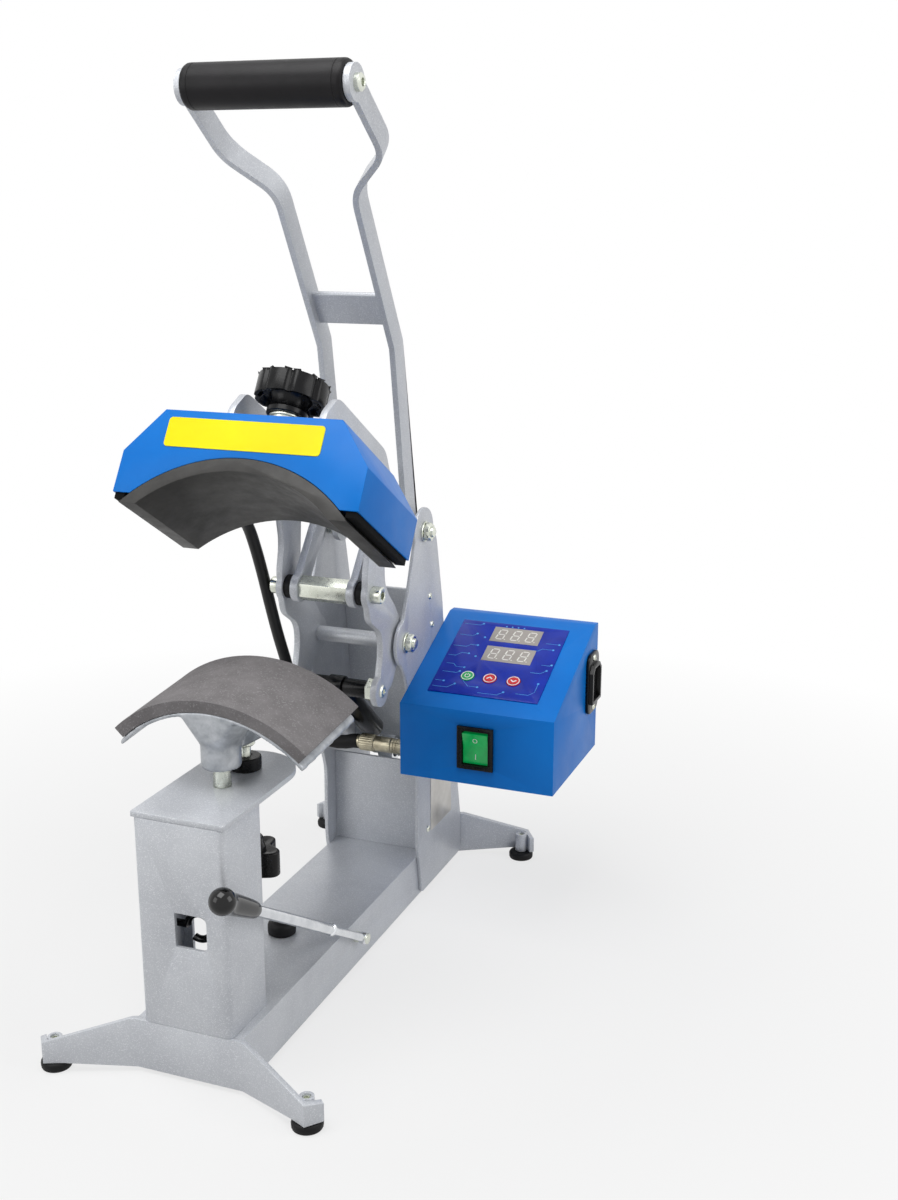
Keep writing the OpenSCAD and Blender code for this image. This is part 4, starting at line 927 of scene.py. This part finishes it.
# Keys: a disc with a white rim and its mark, on each key's own body
KEY_S = 21.5
BUTTON = [(7, -3.1), (7, -2.1), (5.5, -2.1), (5.5, 0.25), (5.35, 0.5), (4.9, 0.6), (3, 0.62)]
START_MARK = hoop(2.0, 0.7, 125, 290) + strip([(0, 0.6), (0, 2.8)], 0.7)
UP_MARK = strip([(-2.3, -0.9), (0, 1.1), (2.3, -0.9)], 1.05)
DOWN_MARK = strip([(-2.3, 0.9), (0, -1.1), (2.3, 0.9)], 1.05)
for name, x, material, slot_name, mark in (
        ("key_start", 26, key_green, "key_green", START_MARK),
        ("key_up", 44.5, key_red, "key_red", UP_MARK),
        ("key_down", 64, key_red, "key_red", DOWN_MARK)):
    centre = PRINT @ Matrix.Translation((x / 1000, KEY_S / 1000, 0))
    rim = hoop(4.75, 0.7, steps=40)
    dressed(turned(BUTTON, 56), name + "_cap", name, material, [name], centre)
    dressed(printed(rim, 0.05, 0.585), name + "_rim", name, white_ink, (), centre)
    dressed(printed(mark, 0.06, 0.60), name + "_mark", name, white_ink, (), centre)

# Marks on the rocker's two flats: a ring above and a bar below
TILT = math.radians(7)
SWITCH = tilted(BOX_X + 62.7, BOX_Y + 4, BOX_Z + 30.2, TILT)
UPRIGHT = Matrix.Rotation(math.pi / 2, 4, "X")
FLAT_H = 27.5 / 2
DIP = FLAT_H * math.tan(TILT)


def on_rocker(s):
    """The middle of the rocker's upper flat for s = 1, and of its lower flat for s = -1."""
    middle = Matrix.Translation((0, (-5 + DIP / 2) / 1000, s * FLAT_H / 2000))
    return SWITCH @ middle @ Matrix.Rotation(s * math.atan2(DIP, FLAT_H - 1), 4, "X") @ UPRIGHT


ring_mark = printed(hoop(1.7, 0.5), 0.06, 0.03)
bar_mark = printed(strip([(0, -2.2), (0, 2.2)], 0.6), 0.06, 0.03)
dressed(ring_mark, "rocker_ring_mark", "rocker", white_ink, (), on_rocker(1))
dressed(bar_mark, "rocker_bar_mark", "rocker", white_ink, (), on_rocker(-1))

# Mains inlet: flange, shaped collar round the cavity, blades and two screws
INLET = Matrix.Translation(mm(BOX_RIGHT, BOX_Y + 98, BOX_Z + 61))
flange = corners_rounded(block((0, -14.5, -25), (2.6, 14.5, 25)), 0, 8, 6)
rounded(flange, 0.5)
collar = block((-20, -12.5, -16), (5.6, 12.5, 16))
corners_rounded(collar, 0, 5.5, 1, lambda p: p.z > 0)
corners_rounded(collar, 0, 1.5, 3, lambda p: p.z < 0)
only(collar)
bpy.ops.object.mode_set(mode="EDIT")
pick(collar, lambda p, n: n.x > 0.9)
bpy.ops.mesh.inset(thickness=0.0024, depth=0)
bpy.ops.mesh.extrude_region_move(TRANSFORM_OT_translate={"value": (-0.0215, 0, 0)})
bpy.ops.object.mode_set(mode="OBJECT")
rounded(collar, 0.5)
inlet = joined([flange, collar])
dressed(inlet, "power_inlet_moulded", "frame", nylon, ["power_inlet"], INLET)
blades = [block((-17, y - 2, z - 1), (1.5, y + 2, z + 1)) for y, z in ((-2, -7), (-2, 7), (4.5, 0))]
for blade in blades:
    rounded(blade, 0.45)
dressed(joined(blades), "inlet_blades", "frame", nickel, (), INLET)
pieces = [placed(dome_screw(5.5, 1.3, 2.4), Vector((0.0025, 0, s * 0.0205)), RIGHT) for s in (-1, 1)]
dressed(joined(pieces), "inlet_screws", "frame", zinc, (), INLET)

# Floor, light and surroundings

bpy.ops.object.select_all(action="DESELECT")
bpy.ops.mesh.primitive_plane_add(size=14, location=(0, 2, -0.0002))
bpy.ops.object.transform_apply(location=True, rotation=True, scale=True)
floor = bpy.context.object
floor.name = "studio_floor"


def background_rays(tree):
    """One for the rays that show the background: straight, mirrored or through glass."""
    rays = add(tree, "ShaderNodeLightPath").outputs
    most = add(tree, "ShaderNodeMath", {0: rays["Is Camera Ray"], 1: rays["Is Glossy Ray"]},
               operation="MAXIMUM").outputs[0]
    return add(tree, "ShaderNodeMath", {0: most, 1: rays["Is Transmission Ray"]},
               operation="MAXIMUM").outputs[0]


# White paper: it keeps the shadow near the object and runs out into plain white
paper = bpy.data.materials.new("white_paper_floor")
paper.use_nodes = True
tree = paper.node_tree
tree.nodes.clear()
place = add(tree, "ShaderNodeTexCoord").outputs["Object"]
distance = add(tree, "ShaderNodeVectorMath", {0: place}, operation="LENGTH").outputs["Value"]
share = add(tree, "ShaderNodeMapRange",
            {"Value": distance, "From Min": 0.25, "From Max": 0.85, "To Min": 0.72, "To Max": 1.0})
fade = add(tree, "ShaderNodeMath", {0: background_rays(tree), 1: share.outputs[0]}, operation="MULTIPLY")
matt = add(tree, "ShaderNodeBsdfDiffuse", {"Color": linear("#d2d2d2")})
glow = add(tree, "ShaderNodeEmission", {"Color": linear("#ffffff"), "Strength": 1.0})
both = add(tree, "ShaderNodeMixShader", {0: fade.outputs[0], 1: matt.outputs[0], 2: glow.outputs[0]})
add(tree, "ShaderNodeOutputMaterial", {"Surface": both.outputs[0]})
floor.data.materials.append(paper)

# The room is white where it is seen and dim where it only lights
world = bpy.data.worlds.new("studio")
bpy.context.scene.world = world
world.use_nodes = True
tree = world.node_tree
tree.nodes.clear()
room = add(tree, "ShaderNodeMapRange", {"Value": background_rays(tree), "To Min": 0.2, "To Max": 1.0})
sky = add(tree, "ShaderNodeBackground", {"Color": linear("#ffffff"), "Strength": room.outputs[0]})
add(tree, "ShaderNodeOutputWorld", {"Surface": sky.outputs[0]})


def lamp(name, at, aim, size, power):
    """A square soft light at a point, aimed at another, both in millimetres."""
    light = bpy.data.lights.new(name, "AREA")
    light.energy, light.size = power, size
    holder = bpy.data.objects.new(name, light)
    bpy.context.scene.collection.objects.link(holder)
    holder.location = mm(*at)
    holder.rotation_euler = (mm(*aim) - mm(*at)).to_track_quat("-Z", "Y").to_euler()


lamp("overhead_softbox", (-150, -350, 1900), (0, 200, 300), 1.3, 25)
lamp("right_softbox", (1500, 300, 900), (0, 200, 300), 1.0, 8)
lamp("left_softbox", (-1000, -1200, 900), (0, 150, 300), 1.0, 6)
